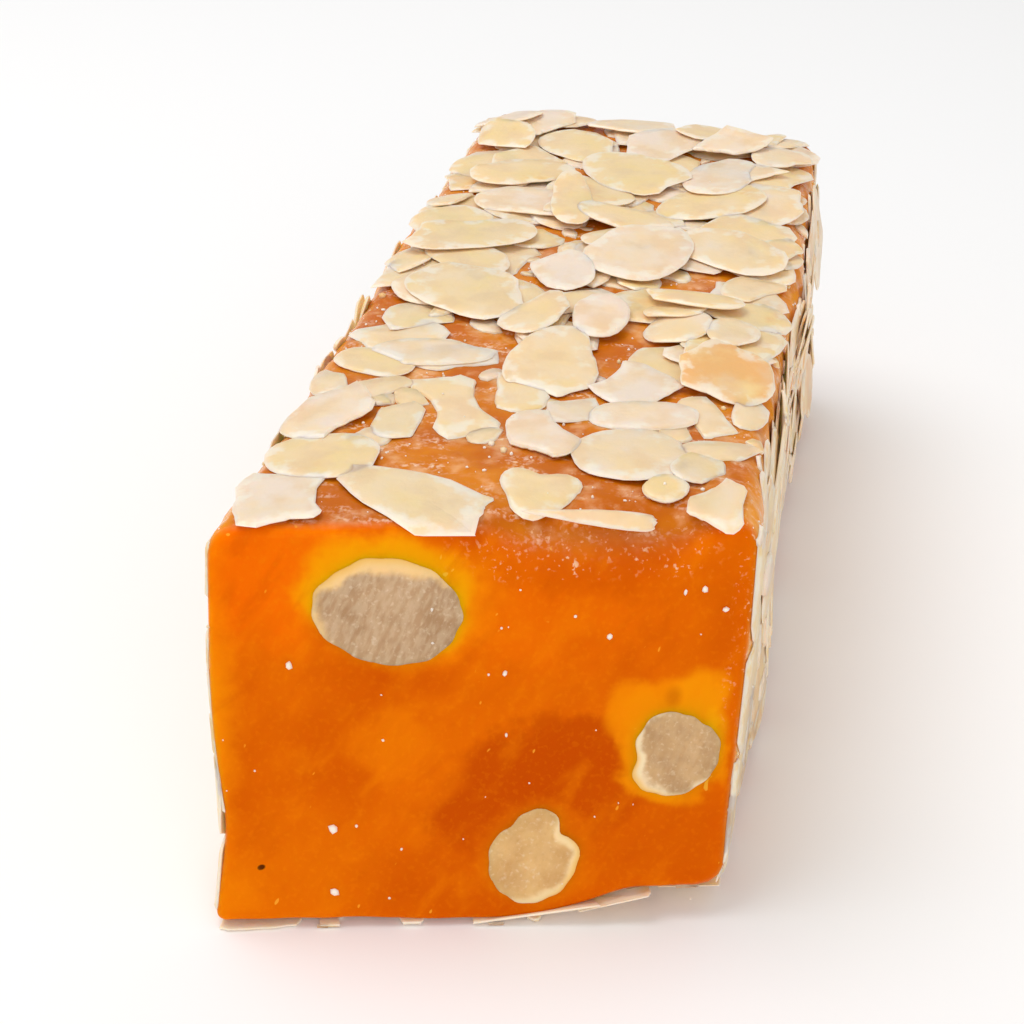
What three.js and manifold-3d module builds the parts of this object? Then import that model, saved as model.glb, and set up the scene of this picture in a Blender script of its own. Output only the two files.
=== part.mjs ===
// Turkish delight bar: amber jelly coated with flaked almonds, cut across with a knife so
// that three hazelnuts show in the cut face. Millimetres, +Z up, cut face towards -Y.

import * as THREE from "three";
import ManifoldModule from "manifold-3d";

const wasm = await ManifoldModule();
wasm.setup();
const { Manifold, Mesh } = wasm;
const { clamp, degToRad, lerp, smoothstep } = THREE.MathUtils;

// Jelly
const WIDTH = 40;
const JELLY_HEIGHT = 32.3;
const LENGTH = 99;
const CORNER_RADII = [2.2, 2.4, 2.4, 1.3];
const CORNER_STEPS = 4;
const WALL_STEPS = [4, 6, 4, 6];
const BODY_STEPS = 12;

// The cut: how far it runs back for each millimetre across and up, and how its edges are worn,
// each as a place along the bar and an inset, from just in front of the cut
const CUT_SLANT_ACROSS = 0.232;
const CUT_SLANT_UP = 0.237;
const CUT_EDGE = [[-0.1, 0.9], [0.25, 0.4], [0.7, 0.12], [1.5, 0]];
const TOP_EDGE_DROP = 3.8;
const TOP_EDGE_RUN = 2.6;
const TOP_EDGE_DEPTH = 7;
const TOP_EDGE_BARE = [-4, 6, 13, 19];
const BASE_EDGE_SAG = 0.8;
const BASE_EDGE_SOFT = [-16, -2, 5, 8];
const BASE_EDGE_RAISE = 2.4;
const BASE_EDGE_RAISED = [5, 14];
const BASE_EDGE_RUN = 14;
const BASE_EDGE_DEPTH = 7;

// The far end, which is the bar's own rounded end
const FAR_SLANT_ACROSS = -0.1;
const FAR_ROUNDING = 5.5;
const FAR_NARROWING = 3;
const FAR_STEPS = 4;

// Unevenness of the jelly's walls
const WALL_WAVE = 0.28;
const LONG_WAVE = 57;
const SHORT_WAVE = 27;
const TOP_WAVE = 0.14;
const TOP_WAVE_LENGTH = 37;
const LEFT_DENT = 0.8;
const LEFT_DENT_UP = 8;
const LEFT_DENT_SPREAD = 6;

// Almond flakes
const BASE_COATING = 0.9;
const FLAKE_SEED = 20435;
const FLAKE_PITCH = 8.3;
const ROW_PITCH = FLAKE_PITCH * 0.87;
const FLAKE_JITTER = 0.5;
const FLAKE_SHORTEST = 7;
const FLAKE_LONGEST = 13;
const FLAKE_WIDEST = 9.2;
const FLAKE_CORNERS = 7;
const FLAKE_ROOT = 1.7;
const FLAKE_LEAST_TOP = 0.3;
const FLAKE_LOWEST_TOP = 0.5;
const FLAKE_TOP_SPREAD = 0.6;
const FLAKE_TILT = 0.07;
const FLAKE_EDGE_INSET = 0.6;
const FLAKE_EDGE_SPREAD = 0.5;
const FLAKE_OVERHANG = 0.05;
const FLAKE_LEAST_BEHIND_CUT = 3;
const FLAKE_PRESSED_AT_CUT = 0.55;
const FAR_FLAKES_KEPT = 0.55;
const FAR_BARE_RIM = 3;

// Flakes that lie on the top next to the cut: across, along, length, width, turn in degrees,
// narrowing towards the far end, squareness from 2 for an oval
const FRONT_FLAKES = [
  [-16.4, 4.4, 9.2, 8.0, 95, 0, 3.2],
  [-5.5, 5.5, 15.2, 7.6, -20, -0.35, 2.2],
  [3.2, 8.5, 6.8, 5.8, -90, 0.5, 2.3],
  [7.2, 6.7, 10.8, 2.3, 15, -0.45, 2.6],
  [12.8, 10.9, 3.6, 3.4, 60, 0, 2.4],
  [17.2, 10.2, 7.0, 4.7, 78, 0.1, 2.6],
  [15.0, 15.0, 5.6, 3.9, 70, 0.15, 2.2],
  [9.4, 15.9, 9.4, 9.0, 20, 0, 2.3],
  [-14.6, 11.2, 9.2, 7.4, 8, 0, 2.4],
  [-16.6, 18.6, 10.2, 6.6, 78, 0.1, 2.8],
  [-6.2, 21.9, 13.2, 6.2, -62, 0, 3.2],
  [-10.0, 18.3, 6.8, 4.6, 100, 0.2, 2.6],
  [1.9, 17.6, 8.4, 5.8, -65, 0, 2.3],
  [9.4, 22.8, 9.4, 4.8, 8, 0, 2.4],
  [-1.8, 25.4, 8.4, 5.2, -68, 0, 2.5],
  [0.5, 31.2, 12.6, 8.2, 88, 0.1, 2.3],
  [8.0, 28.0, 8.6, 6.8, -35, 0, 2.6],
  [15.7, 31.2, 9.4, 8.2, 100, 0, 3.2],
  [14.6, 23.8, 7.6, 4.3, -66, 0, 2.8],
  [-10.4, 31.2, 11.0, 5.6, 16, 0, 2.4],
  [-14.8, 28.2, 7.4, 5.0, 168, 0, 2.4],
  [10.3, 39.4, 6.8, 6.0, 80, 0, 2.3],
  [15.3, 38.6, 5.8, 4.7, 84, 0, 2.3],
];
const FRONT_FLAKES_END = 37;

// Hazelnuts: the middle of the section in the cut face, its size, its turn in degrees, how deep
// the kernel goes, how its body drifts and swells behind the cut, and dents and bumps in its
// outline, each with its direction, spread and amount
const NUTS = {
  hazelnut_upper_left: {
    middle: [-6.9, 26.4],
    size: [11.4, 8.2],
    turn: -12,
    depth: 6.2,
    drift: [0.2, 0.5],
    swell: 0.05,
    bumps: [[2.6, 0.5, -0.07], [5.2, 0.5, 0.05]],
    colour: 0xc39e78,
  },
  hazelnut_right: {
    middle: [15.3, 14.3],
    size: [7.2, 6.6],
    turn: 35,
    depth: 9.2,
    drift: [-1.6, 3.0],
    swell: 0.32,
    bumps: [[2.55, 0.3, -0.22], [1.35, 0.35, 0.12]],
    colour: 0xc59e70,
  },
  hazelnut_lower: {
    middle: [5.0, 5.9],
    size: [8.0, 7.0],
    turn: 80,
    depth: 4.4,
    drift: [0, 0.8],
    swell: 0.02,
    bumps: [[5.6, 0.32, -0.26], [0.85, 0.35, -0.1], [0.05, 0.3, 0.05]],
    colour: 0xd8ac71,
  },
};
const NUT_GAP = 0.3;
const NUT_POCKET_FRONT = [3, 0.03];
const NUT_CORNERS = 30;
const NUT_RINGS = 7;
const JELLY_COLOUR = 0xe8801a;
const SMALLEST_DETAIL = 0.04;

const halfWidth = WIDTH / 2;
const halfHeight = JELLY_HEIGHT / 2;
const jellyBottom = BASE_COATING;
const jellyTop = BASE_COATING + JELLY_HEIGHT;
const jellyMiddle = (jellyBottom + jellyTop) / 2;

function seededDraw(seed) {
  let state = seed;
  return () => {
    state = (state * 48271) % 2147483647;
    return state / 2147483647;
  };
}

function cutPlaneAlong(across, up) {
  return CUT_SLANT_ACROSS * across + CUT_SLANT_UP * (up - jellyMiddle);
}

function averagePoint(points) {
  return [0, 1, 2].map((k) => points.reduce((sum, point) => sum + point[k], 0) / points.length);
}

// Closed solid through rings of equal point counts, each ring running against the clock
// as seen from in front of the first one
function loftRings(rings) {
  const count = rings[0].length;
  const points = [...rings.flat(), averagePoint(rings[0]), averagePoint(rings[rings.length - 1])];
  const lastRing = (rings.length - 1) * count;
  const frontMiddle = points.length - 2;
  const backMiddle = points.length - 1;
  const triangles = [];
  for (let i = 0; i < count; i += 1) {
    const j = (i + 1) % count;
    triangles.push([frontMiddle, i, j]);
    triangles.push([backMiddle, lastRing + j, lastRing + i]);
    for (let near = 0; near < lastRing; near += count) {
      const far = near + count;
      triangles.push([near + i, far + j, near + j]);
      triangles.push([near + i, far + i, far + j]);
    }
  }
  const vertProperties = new Float32Array(points.flat());
  const triVerts = new Uint32Array(triangles.flat());
  return new Manifold(new Mesh({ numProp: 3, vertProperties, triVerts }));
}

// Rounded rectangle around the bar as [across, up], from the lower right corner round
function jellyOutline(inset) {
  const sides = [[1, -1], [1, 1], [-1, 1], [-1, -1]];
  const cornerPoint = (corner, turn) => {
    const [side, level] = sides[corner % 4];
    const radius = CORNER_RADII[corner % 4];
    const reach = radius - inset;
    const angle = degToRad(turn);
    return [
      side * (halfWidth - radius) + reach * Math.cos(angle),
      jellyMiddle + level * (halfHeight - radius) + reach * Math.sin(angle),
    ];
  };
  const outline = [];
  for (let corner = 0; corner < 4; corner += 1) {
    const start = 90 * (corner - 1);
    for (let step = 0; step <= CORNER_STEPS; step += 1) {
      outline.push(cornerPoint(corner, start + (90 * step) / CORNER_STEPS));
    }
    const from = cornerPoint(corner, start + 90);
    const to = cornerPoint(corner + 1, start + 90);
    for (let step = 1; step < WALL_STEPS[corner]; step += 1) {
      const share = step / WALL_STEPS[corner];
      outline.push([lerp(from[0], to[0], share), lerp(from[1], to[1], share)]);
    }
  }
  return outline;
}

// The jelly is not quite straight: long waves in its walls and top, a dent low on the left
function wavedPoint(across, up, along) {
  const side = across / halfWidth;
  const level = (up - jellyMiddle) / halfHeight;
  const turns = 2 * Math.PI * along;
  const wave = Math.sin(turns / LONG_WAVE + 2 * level) + 0.6 * Math.sin(turns / SHORT_WAVE + 1.3);
  const dentShape = Math.exp(-(((up - LEFT_DENT_UP) / LEFT_DENT_SPREAD) ** 2));
  const dent = LEFT_DENT * dentShape * smoothstep(-side, 0.6, 1);
  const swell = TOP_WAVE * Math.sin(turns / TOP_WAVE_LENGTH + 3 * side) * smoothstep(level, 0.2, 1);
  return [across + WALL_WAVE * wave * side + dent, up + swell];
}

// How far the knife has dragged the top edge down where it is bare of flakes
function topEdgeDrop(across, up, along) {
  const [from, full, fade, to] = TOP_EDGE_BARE;
  const bare = smoothstep(across, from, full) * (1 - smoothstep(across, fade, to));
  const level = smoothstep(up, jellyTop - TOP_EDGE_DEPTH, jellyTop);
  return TOP_EDGE_DROP * bare * level * Math.max(0, 1 - along / TOP_EDGE_RUN) ** 2;
}

// How far the underside is raised on the right next to the cut
function baseEdgeRaise(across, along) {
  const fading = Math.max(0, 1 - along / BASE_EDGE_RUN) ** 2;
  return BASE_EDGE_RAISE * smoothstep(across, ...BASE_EDGE_RAISED) * fading;
}

// How far the soft jelly has sunk at the lower edge of the cut, less what it is raised
function baseEdgeSag(across, up, along) {
  const [from, full, fade, to] = BASE_EDGE_SOFT;
  const soft = smoothstep(across, from, full) * (1 - smoothstep(across, fade, to));
  const sunk = BASE_EDGE_SAG * soft * Math.max(0, 1 - along / BASE_EDGE_RUN) ** 2;
  const level = 1 - smoothstep(up, jellyBottom, jellyBottom + BASE_EDGE_DEPTH);
  return level * (sunk - baseEdgeRaise(across, along));
}

function jellyStations() {
  const bodyStart = CUT_EDGE[CUT_EDGE.length - 1][0];
  const bodyEnd = LENGTH - FAR_ROUNDING;
  const stations = [...CUT_EDGE];
  for (let step = 1; step <= BODY_STEPS; step += 1) {
    stations.push([lerp(bodyStart, bodyEnd, step / BODY_STEPS), 0]);
  }
  for (let step = 1; step <= FAR_STEPS; step += 1) {
    const angle = ((Math.PI / 2) * step) / (FAR_STEPS + 0.6);
    stations.push([bodyEnd + FAR_ROUNDING * Math.sin(angle), FAR_NARROWING * (1 - Math.cos(angle))]);
  }
  return stations;
}

function makeJelly() {
  const rings = jellyStations().map(([along, inset]) => {
    const slantAcross = lerp(CUT_SLANT_ACROSS, FAR_SLANT_ACROSS, along / LENGTH);
    const slantUp = lerp(CUT_SLANT_UP, 0, along / LENGTH);
    return jellyOutline(inset).map(([across, up]) => {
      const lowered = topEdgeDrop(across, up, along) + baseEdgeSag(across, up, along);
      const [x, z] = wavedPoint(across, up - lowered, along);
      return [x, along + slantAcross * x + slantUp * (z - jellyMiddle), z];
    });
  });
  return loftRings(rings);
}

// Faces that carry flakes: a middle point, the two directions in the face, the outward
// direction, the reach of the face each way, and the least height of a flake's upper side,
// which on the base lets every flake reach the surface that the bar lies on
function coatedFaces() {
  const start = cutPlaneAlong(-halfWidth, jellyBottom);
  const end = LENGTH - FAR_BARE_RIM;
  const middle = (start + end) / 2;
  const run = (end - start) / 2;
  const [right, along, up] = [[1, 0, 0], [0, 1, 0], [0, 0, 1]];
  const face = (at, u, v, out, reach, leastTop) => ({ at, u, v, out, reach, leastTop });
  const least = FLAKE_LEAST_TOP;
  const toFloor = BASE_COATING + FLAKE_LEAST_TOP;
  return {
    top: face([0, middle, jellyTop], right, along, up, [halfWidth, run], least),
    right: face([halfWidth, middle, jellyMiddle], along, up, right, [run, halfHeight], least),
    left: face([-halfWidth, middle, jellyMiddle], up, along, [-1, 0, 0], [halfHeight, run], least),
    base: face([0, middle, jellyBottom], along, right, [0, 0, -1], [run, halfWidth], toFloor),
    far: face(
      [0, LENGTH, jellyMiddle],
      up,
      [1, FAR_SLANT_ACROSS, 0],
      along,
      [halfHeight - FAR_BARE_RIM, halfWidth - FAR_BARE_RIM],
      least,
    ),
  };
}

function facePoint(face, u, v, height) {
  return [0, 1, 2].map((k) => face.at[k] + face.u[k] * u + face.v[k] * v + face.out[k] * height);
}

// A flake with its outline, how its upper side lies and how far it ends from the bar's edges
function drawFlake(draw, outline) {
  return {
    ...outline,
    top: FLAKE_LOWEST_TOP + FLAKE_TOP_SPREAD * draw(),
    tiltU: FLAKE_TILT * (2 * draw() - 1),
    tiltV: FLAKE_TILT * (2 * draw() - 1),
    edgeInset: FLAKE_EDGE_INSET + FLAKE_EDGE_SPREAD * draw(),
  };
}

// Straight edges where a flake has broken, each with its direction and its distance
function drawBreaks(draw, width) {
  return [0, 1].map(() => {
    const direction = 2 * Math.PI * draw();
    return [direction, (width / 2) * (0.65 + 0.9 * draw())];
  });
}

// Outline of a flake in its face: an oval, squarer for some, with one narrower end and breaks
function flakeOutline(flake) {
  const squared = (value) => Math.sign(value) * Math.abs(value) ** (2 / flake.square);
  const outline = [];
  for (let corner = 0; corner < FLAKE_CORNERS; corner += 1) {
    const angle = (2 * Math.PI * (corner + 0.5)) / FLAKE_CORNERS;
    const lengthwise = squared(Math.cos(angle));
    let u = (flake.length / 2) * lengthwise;
    let v = (flake.width / 2) * squared(Math.sin(angle)) * (1 - flake.taper * lengthwise);
    for (const [direction, reach] of flake.breaks) {
      const over = Math.max(0, u * Math.cos(direction) + v * Math.sin(direction) - reach);
      u -= over * Math.cos(direction);
      v -= over * Math.sin(direction);
    }
    const turnedU = u * Math.cos(flake.turn) - v * Math.sin(flake.turn);
    const turnedV = u * Math.sin(flake.turn) + v * Math.cos(flake.turn);
    outline.push([flake.u + turnedU, flake.v + turnedV]);
  }
  return outline;
}

// How far the corners of a flake lie behind the cut
function depthsBehindCut(flake, face) {
  return flakeOutline(flake).map(([u, v]) => {
    const [across, along, up] = facePoint(face, u, v, 0);
    return along - cutPlaneAlong(across, up);
  });
}

// Scattered flakes over one face, in rows with every other row set over by half a pitch
function scatterFlakes(draw, name, face) {
  const columns = Math.floor((2 * face.reach[0] - FAR_BARE_RIM) / FLAKE_PITCH);
  const rows = Math.floor((2 * face.reach[1] - FAR_BARE_RIM) / ROW_PITCH);
  const flakes = [];
  for (let row = 0; row <= rows; row += 1) {
    const shift = row % 2 ? 0.25 : -0.25;
    for (let column = 0; column <= columns; column += 1) {
      const u = (column - columns / 2 + shift + FLAKE_JITTER * (draw() - 0.5)) * FLAKE_PITCH;
      const v = (row - rows / 2 + FLAKE_JITTER * (draw() - 0.5)) * ROW_PITCH;
      const length = lerp(FLAKE_SHORTEST, FLAKE_LONGEST, draw() ** 1.4);
      const width = Math.min(length * (0.55 + 0.35 * draw()), FLAKE_WIDEST);
      const turn = 2 * Math.PI * draw();
      const taper = 0.45 * (draw() - 0.3);
      const breaks = drawBreaks(draw, width);
      const flake = drawFlake(draw, { u, v, length, width, turn, taper, square: 2, breaks });
      const bare = name === "far" && draw() > FAR_FLAKES_KEPT;
      const laidByHand = name === "top" && v + face.at[1] < FRONT_FLAKES_END;
      const depths = depthsBehindCut(flake, face);
      if (Math.min(...depths) < 0) {
        flake.top *= FLAKE_PRESSED_AT_CUT;
        flake.tiltU *= FLAKE_PRESSED_AT_CUT;
        flake.tiltV *= FLAKE_PRESSED_AT_CUT;
      }
      if (!bare && !laidByHand && Math.max(...depths) > FLAKE_LEAST_BEHIND_CUT) {
        flakes.push(flake);
      }
    }
  }
  return flakes;
}

// Holds a flake's corner at the bar's edge, with a share of what reaches over it
function heldAtEdge(value, limit) {
  return lerp(clamp(value, -limit, limit), value, FLAKE_OVERHANG);
}

// A flake as a plate rooted in the jelly, its upper side tilted, that ends short of the bar's
// edges and follows the jelly where its top is dragged down and its underside is raised
function flakeSolid(flake, face) {
  const [limitU, limitV] = face.reach.map((reach) => reach - flake.edgeInset);
  const roots = [];
  const tops = [];
  for (const [cornerU, cornerV] of flakeOutline(flake)) {
    const u = heldAtEdge(cornerU, limitU);
    const v = heldAtEdge(cornerV, limitV);
    const tilt = flake.tiltU * (u - flake.u) + flake.tiltV * (v - flake.v);
    const [across, along, up] = facePoint(face, u, v, 0);
    const behindCut = Math.max(0, along - cutPlaneAlong(across, up));
    const raise = face.out[2] < 0 ? baseEdgeRaise(across, behindCut) : 0;
    const inwards = topEdgeDrop(across, up, behindCut) + raise;
    roots.push(facePoint(face, u, v, -FLAKE_ROOT - inwards));
    tops.push(facePoint(face, u, v, Math.max(face.leastTop, flake.top + tilt) - inwards));
  }
  return loftRings([tops, roots]);
}

function makeFlakes() {
  const draw = seededDraw(FLAKE_SEED);
  const faces = coatedFaces();
  const solids = FRONT_FLAKES.map(([u, along, length, width, degrees, taper, square]) => {
    const v = along - faces.top.at[1];
    const turn = degToRad(degrees);
    const outline = { u, v, length, width, turn, taper, square, breaks: [] };
    return flakeSolid(drawFlake(draw, outline), faces.top);
  });
  for (const [name, face] of Object.entries(faces)) {
    for (const flake of scatterFlakes(draw, name, face)) {
      solids.push(flakeSolid(flake, face));
    }
  }
  return solids;
}

function nutRing(nut, grow, share, along) {
  const turn = degToRad(nut.turn);
  const closing = Math.sqrt(1 - share ** 4);
  const size = closing * (1 + nut.swell * Math.sin(Math.PI * Math.min(1, share * 1.1)));
  const points = [];
  for (let corner = 0; corner < NUT_CORNERS; corner += 1) {
    const angle = (2 * Math.PI * corner) / NUT_CORNERS;
    let bump = 1;
    for (const [direction, spread, amount] of nut.bumps) {
      const away = Math.atan2(Math.sin(angle - direction), Math.cos(angle - direction));
      bump += amount * Math.exp(-((away / spread) ** 2)) * (1 - share);
    }
    const u = Math.cos(angle) * ((nut.size[0] / 2) * bump * size + grow);
    const v = Math.sin(angle) * ((nut.size[1] / 2) * bump * size + grow);
    const across = nut.middle[0] + nut.drift[0] * share + u * Math.cos(turn) - v * Math.sin(turn);
    const up = nut.middle[1] + nut.drift[1] * share + u * Math.sin(turn) + v * Math.cos(turn);
    points.push([across, along + cutPlaneAlong(across, up), up]);
  }
  return points;
}

// Cut kernel behind the cut face: rings parallel to the cut that swell, drift and close. The room
// for it in the jelly starts with rings in front of the cut instead of one in it.
function makeNut(nut, grow, front) {
  const rings = front.map((ahead) => nutRing(nut, grow, 0, -ahead));
  for (let ring = 1; ring <= NUT_RINGS; ring += 1) {
    const share = Math.sin(((Math.PI / 2) * ring) / (NUT_RINGS + 0.7));
    rings.push(nutRing(nut, grow, share, share * (nut.depth + grow)));
  }
  return loftRings(rings);
}

function makeJellyBar() {
  const cutNormal = new THREE.Vector3(-CUT_SLANT_ACROSS, 1, -CUT_SLANT_UP).normalize();
  const cutFromOrigin = cutNormal.z * jellyMiddle;
  const coated = Manifold.union([makeJelly(), ...makeFlakes()]);
  const cut = coated.trimByPlane(cutNormal.toArray(), cutFromOrigin).trimByPlane([0, 0, 1], 0);
  const pockets = Object.values(NUTS).map((nut) => makeNut(nut, NUT_GAP, NUT_POCKET_FRONT));
  return cut.subtract(Manifold.union(pockets)).simplify(SMALLEST_DETAIL);
}

function toMesh(name, solid, colour, roughness) {
  const { vertProperties, triVerts } = solid.getMesh();
  const geometry = new THREE.BufferGeometry();
  geometry.setAttribute("position", new THREE.BufferAttribute(new Float32Array(vertProperties), 3));
  geometry.setIndex(new THREE.BufferAttribute(new Uint32Array(triVerts), 1));
  geometry.computeVertexNormals();
  const mesh = new THREE.Mesh(
    geometry,
    new THREE.MeshStandardMaterial({ color: colour, roughness, metalness: 0 }),
  );
  mesh.name = name;
  return mesh;
}

const group = new THREE.Group();
group.name = "turkish_delight";
group.add(toMesh("jelly_bar", makeJellyBar(), JELLY_COLOUR, 0.35));
for (const [name, nut] of Object.entries(NUTS)) {
  group.add(toMesh(name, makeNut(nut, 0, [0]), nut.colour, 0.7));
}

// The origin is the middle of the underside of the bar's box
const box = new THREE.Box3().setFromObject(group);
const middle = box.getCenter(new THREE.Vector3());
for (const mesh of group.children) {
  mesh.geometry.translate(-middle.x, -middle.y, -box.min.z);
}

export default group;
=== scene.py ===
import math

import bpy
import numpy as np
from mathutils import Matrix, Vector
from mathutils.bvhtree import BVHTree


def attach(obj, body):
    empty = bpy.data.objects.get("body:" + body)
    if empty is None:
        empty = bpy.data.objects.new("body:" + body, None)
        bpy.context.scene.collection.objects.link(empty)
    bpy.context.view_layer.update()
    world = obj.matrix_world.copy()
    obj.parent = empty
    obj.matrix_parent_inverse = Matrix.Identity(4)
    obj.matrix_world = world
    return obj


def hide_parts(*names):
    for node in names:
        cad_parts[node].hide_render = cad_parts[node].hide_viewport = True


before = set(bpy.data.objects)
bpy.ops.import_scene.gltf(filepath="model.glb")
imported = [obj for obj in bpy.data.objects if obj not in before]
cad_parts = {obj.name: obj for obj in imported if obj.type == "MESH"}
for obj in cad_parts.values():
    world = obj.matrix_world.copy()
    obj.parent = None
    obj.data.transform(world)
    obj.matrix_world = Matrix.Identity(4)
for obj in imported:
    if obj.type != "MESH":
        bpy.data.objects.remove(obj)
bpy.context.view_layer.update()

# Sizes are millimetres in the bar's own axes: across, along from the cut face, up.
# FRAME_ORIGIN is the frame's origin in those axes.
MM = 0.001
FRAME_ORIGIN = (0.0109, 46.929, 0.0)

# Jelly
WIDTH = 40
JELLY_HEIGHT = 32.3
LENGTH = 99
CORNER_RADII = (2.2, 2.4, 2.4, 0.7)
CORNER_SEGMENTS = 6
JELLY_CREASE = 42
CUT_SLANT_ACROSS = 0.232
CUT_SLANT_UP = 0.237
CUT_EDGE = [(0, 0.76), (0.25, 0.4), (0.7, 0.12), (1.5, 0)]
TOP_EDGE_DROP = 3.8
TOP_EDGE_RUN = 2.6
TOP_EDGE_DEPTH = 7
TOP_EDGE_BARE = (-4, 6, 13, 19)
BASE_EDGE_SAG = 0.8
BASE_EDGE_SOFT = (-16, -2, 5, 8)
BASE_EDGE_RAISE = 2.4
BASE_EDGE_RAISED = (5, 14)
BASE_EDGE_RUN = 14
BASE_EDGE_DEPTH = 7
BASE_SETTLING = 0.5
FAR_SLANT_ACROSS = -0.1
FAR_ROUNDING = 5.5
FAR_NARROWING = 3
FAR_STEPS = 5
FAR_BLUNTNESS = 0.6
WALL_WAVE = 0.28
LONG_WAVE = 57
SHORT_WAVE = 27
SHORT_WAVE_SHARE = 0.6
SHORT_WAVE_SHIFT = 1.3
WAVE_LEAN = 2
TOP_WAVE = 0.14
TOP_WAVE_LENGTH = 37
TOP_WAVE_LEAN = 3
TOP_WAVE_FROM = 0.2
LEFT_DENT = 0.8
LEFT_DENT_UP = 8.8
LEFT_DENT_SPREAD = 5
LEFT_DENT_FROM = 0.6
EDGE_TOLERANCE = 0.01
FACING_END = 0.99
SLICE_ACROSS = 1.2
SLICE_ALONG = 1.6
SKIN_RELIEF = 0.07
SKIN_RIPPLES = [(0.9, 0.7, 0), (0, -0.6, 0.8), (1.1, 1.7, -1)]
CUT_RELIEF_SHARE = 0.25
CUT_RELIEF_RUN = (0.5, 2)
SKIN_STARTS = (0.15, 1.1)
FROST_STARTS_UP = (28.2, 29.4)
FROST_STARTS_RIGHT = (18.2, 19.6)
FROST_RISES_RIGHT = (13, 22)

# Almond flakes
BASE_COATING = 0.9
FLAKE_SEED = 20435
FLAKE_PITCH = 8.3
ROW_PITCH = FLAKE_PITCH * 0.87
FLAKE_JITTER = 0.5
FLAKE_SHORTEST = 7
FLAKE_LONGEST = 13
FLAKE_WIDEST = 9.2
FLAKE_SIZE_BIAS = 1.4
FLAKE_SLIMNESS = (0.55, 0.9)
FLAKE_TAPER = (-0.135, 0.315)
BREAKS = 2
BREAK_REACH = (0.65, 1.55)
ROW_SHIFT = 0.25
FLAKE_LEAST_BEHIND_CUT = 3
FAR_FLAKES_KEPT = 0.55
FAR_BARE_RIM = 3
RULE_CORNERS = 7
LAYING_SEED = 4711
OUTLINE_POINTS = 56
FLAKE_POINTS = 24
FLAKE_THIN = 0.18
FLAKE_THICK = 0.3
FLAKE_SINK = 0.17
FLAKE_TOUCH = 98
FLAKE_LEAST_SHOWN = 0.08
FLAKE_COVER = 0.03
FLAKE_LEAST_CELLS = 4
FLAKE_TONES = (0.05, 0.8)
# How much warmer the flakes on the walls are painted, a painted bounce of orange light onto the walls
WALL_BOUNCE_LIGHT_TONE = 0.18
FLAKE_GIVE = 0.12
FLAKE_GIVE_FROM = 0.5
FLAKE_GIVE_MOST = 0.3
FLAKE_BOW = (-0.12, 0.18)
FLAKE_TWIST = 0.3
FLAKE_TILT = 0.02
STEEPEST_FLAKE = 0.2
HIGHEST_ON_TOP = 1.8
HIGHEST_ON_WALL = 1.3
HIGHEST_AT_CUT = 0.35
FLUSH_AT_CUT = 0.26
WALL_FLAKES_BACK = 0.5
WALL_BARE_RIM = (-0.3, 2.0)
FLUSH_RUN = (4, 20)
LAYERS_RUN = (10, 30)
OVERHANG = 1.4
EDGE_PLAY = (-0.5, 0.4)
FLAKE_MOVE = 6
HEIGHT_CELL = 0.4
COATING_MARGIN = 4
OUTSIDE = -3.0
LOWEST_JELLY = -0.8

# A flake from the middle of its upper side over the rim to its lower rim: reach, share of thickness
FLAKE_PROFILE = [(0, 1), (0.6, 1), (0.93, 1), (1, 0.4), (0.98, 0)]
BIT_PROFILE = [(0, 1), (0.92, 1), (1, 0.3), (0.97, 0)]
# The rim value of a flake's side faces, which the almond finish paints near white, a painted highlight over
# their shade
FLAKE_SIDE_RIM = 1.1

# Flakes that lie on the top next to the cut: across, along, length, width, turn in degrees, narrowing
# towards the far end, squareness from 2 for an oval, tone from pinkish white over cream to toasted
FRONT_FLAKES = [
    (-16.4, 4.4, 9.2, 8.0, 95, 0, 3.2, 0.02),
    (-5.5, 6.1, 15.2, 7.2, -22, -0.35, 2.2, 0.36),
    (3.2, 8.5, 6.8, 5.8, -90, 0.5, 2.3, 0.5),
    (7.9, 6.3, 11.4, 1.3, 15, -0.85, 2.2, 0.3),
    (12.8, 10.9, 3.6, 3.4, 60, 0, 2.4, 0.66),
    (17.2, 10.2, 7.0, 4.7, 78, 0.1, 2.6, 0.34),
    (15.0, 15.0, 5.6, 3.9, 70, 0.15, 2.2, 0.45),
    (9.4, 15.9, 9.4, 9.0, 20, 0, 2.3, 0.3),
    (-14.6, 11.2, 9.2, 7.4, 8, 0, 2.4, 0.55),
    (-16.6, 18.6, 10.2, 6.6, 78, 0.1, 2.8, 0.06),
    (-6.2, 21.9, 13.2, 6.2, -62, 0, 3.2, 0.46),
    (-10.0, 18.3, 6.8, 4.6, 100, 0.2, 2.6, 0.36),
    (1.9, 17.6, 8.4, 5.8, -65, 0, 2.3, 0.08),
    (9.4, 22.8, 9.4, 4.8, 8, 0, 2.4, 0.12),
    (-1.8, 25.4, 8.4, 5.2, -68, 0, 2.5, 0.46),
    (0.5, 31.2, 12.6, 8.2, 88, 0.1, 2.3, 0.42),
    (8.0, 28.0, 8.6, 6.8, -35, 0, 2.6, 0.02),
    (16.0, 31.0, 10.4, 9.4, 100, 0, 2.1, 0.95),
    (14.6, 23.8, 7.6, 4.3, -66, 0, 2.8, 0.4),
    (-10.4, 31.2, 11.0, 5.6, 16, 0, 2.4, 0.16),
    (-14.8, 28.2, 7.4, 5.0, 168, 0, 2.4, 0.55),
    (10.3, 39.4, 6.8, 6.0, 80, 0, 2.3, 0.3),
    (15.3, 38.6, 5.8, 4.7, 84, 0, 2.3, 0.3),
]
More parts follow.
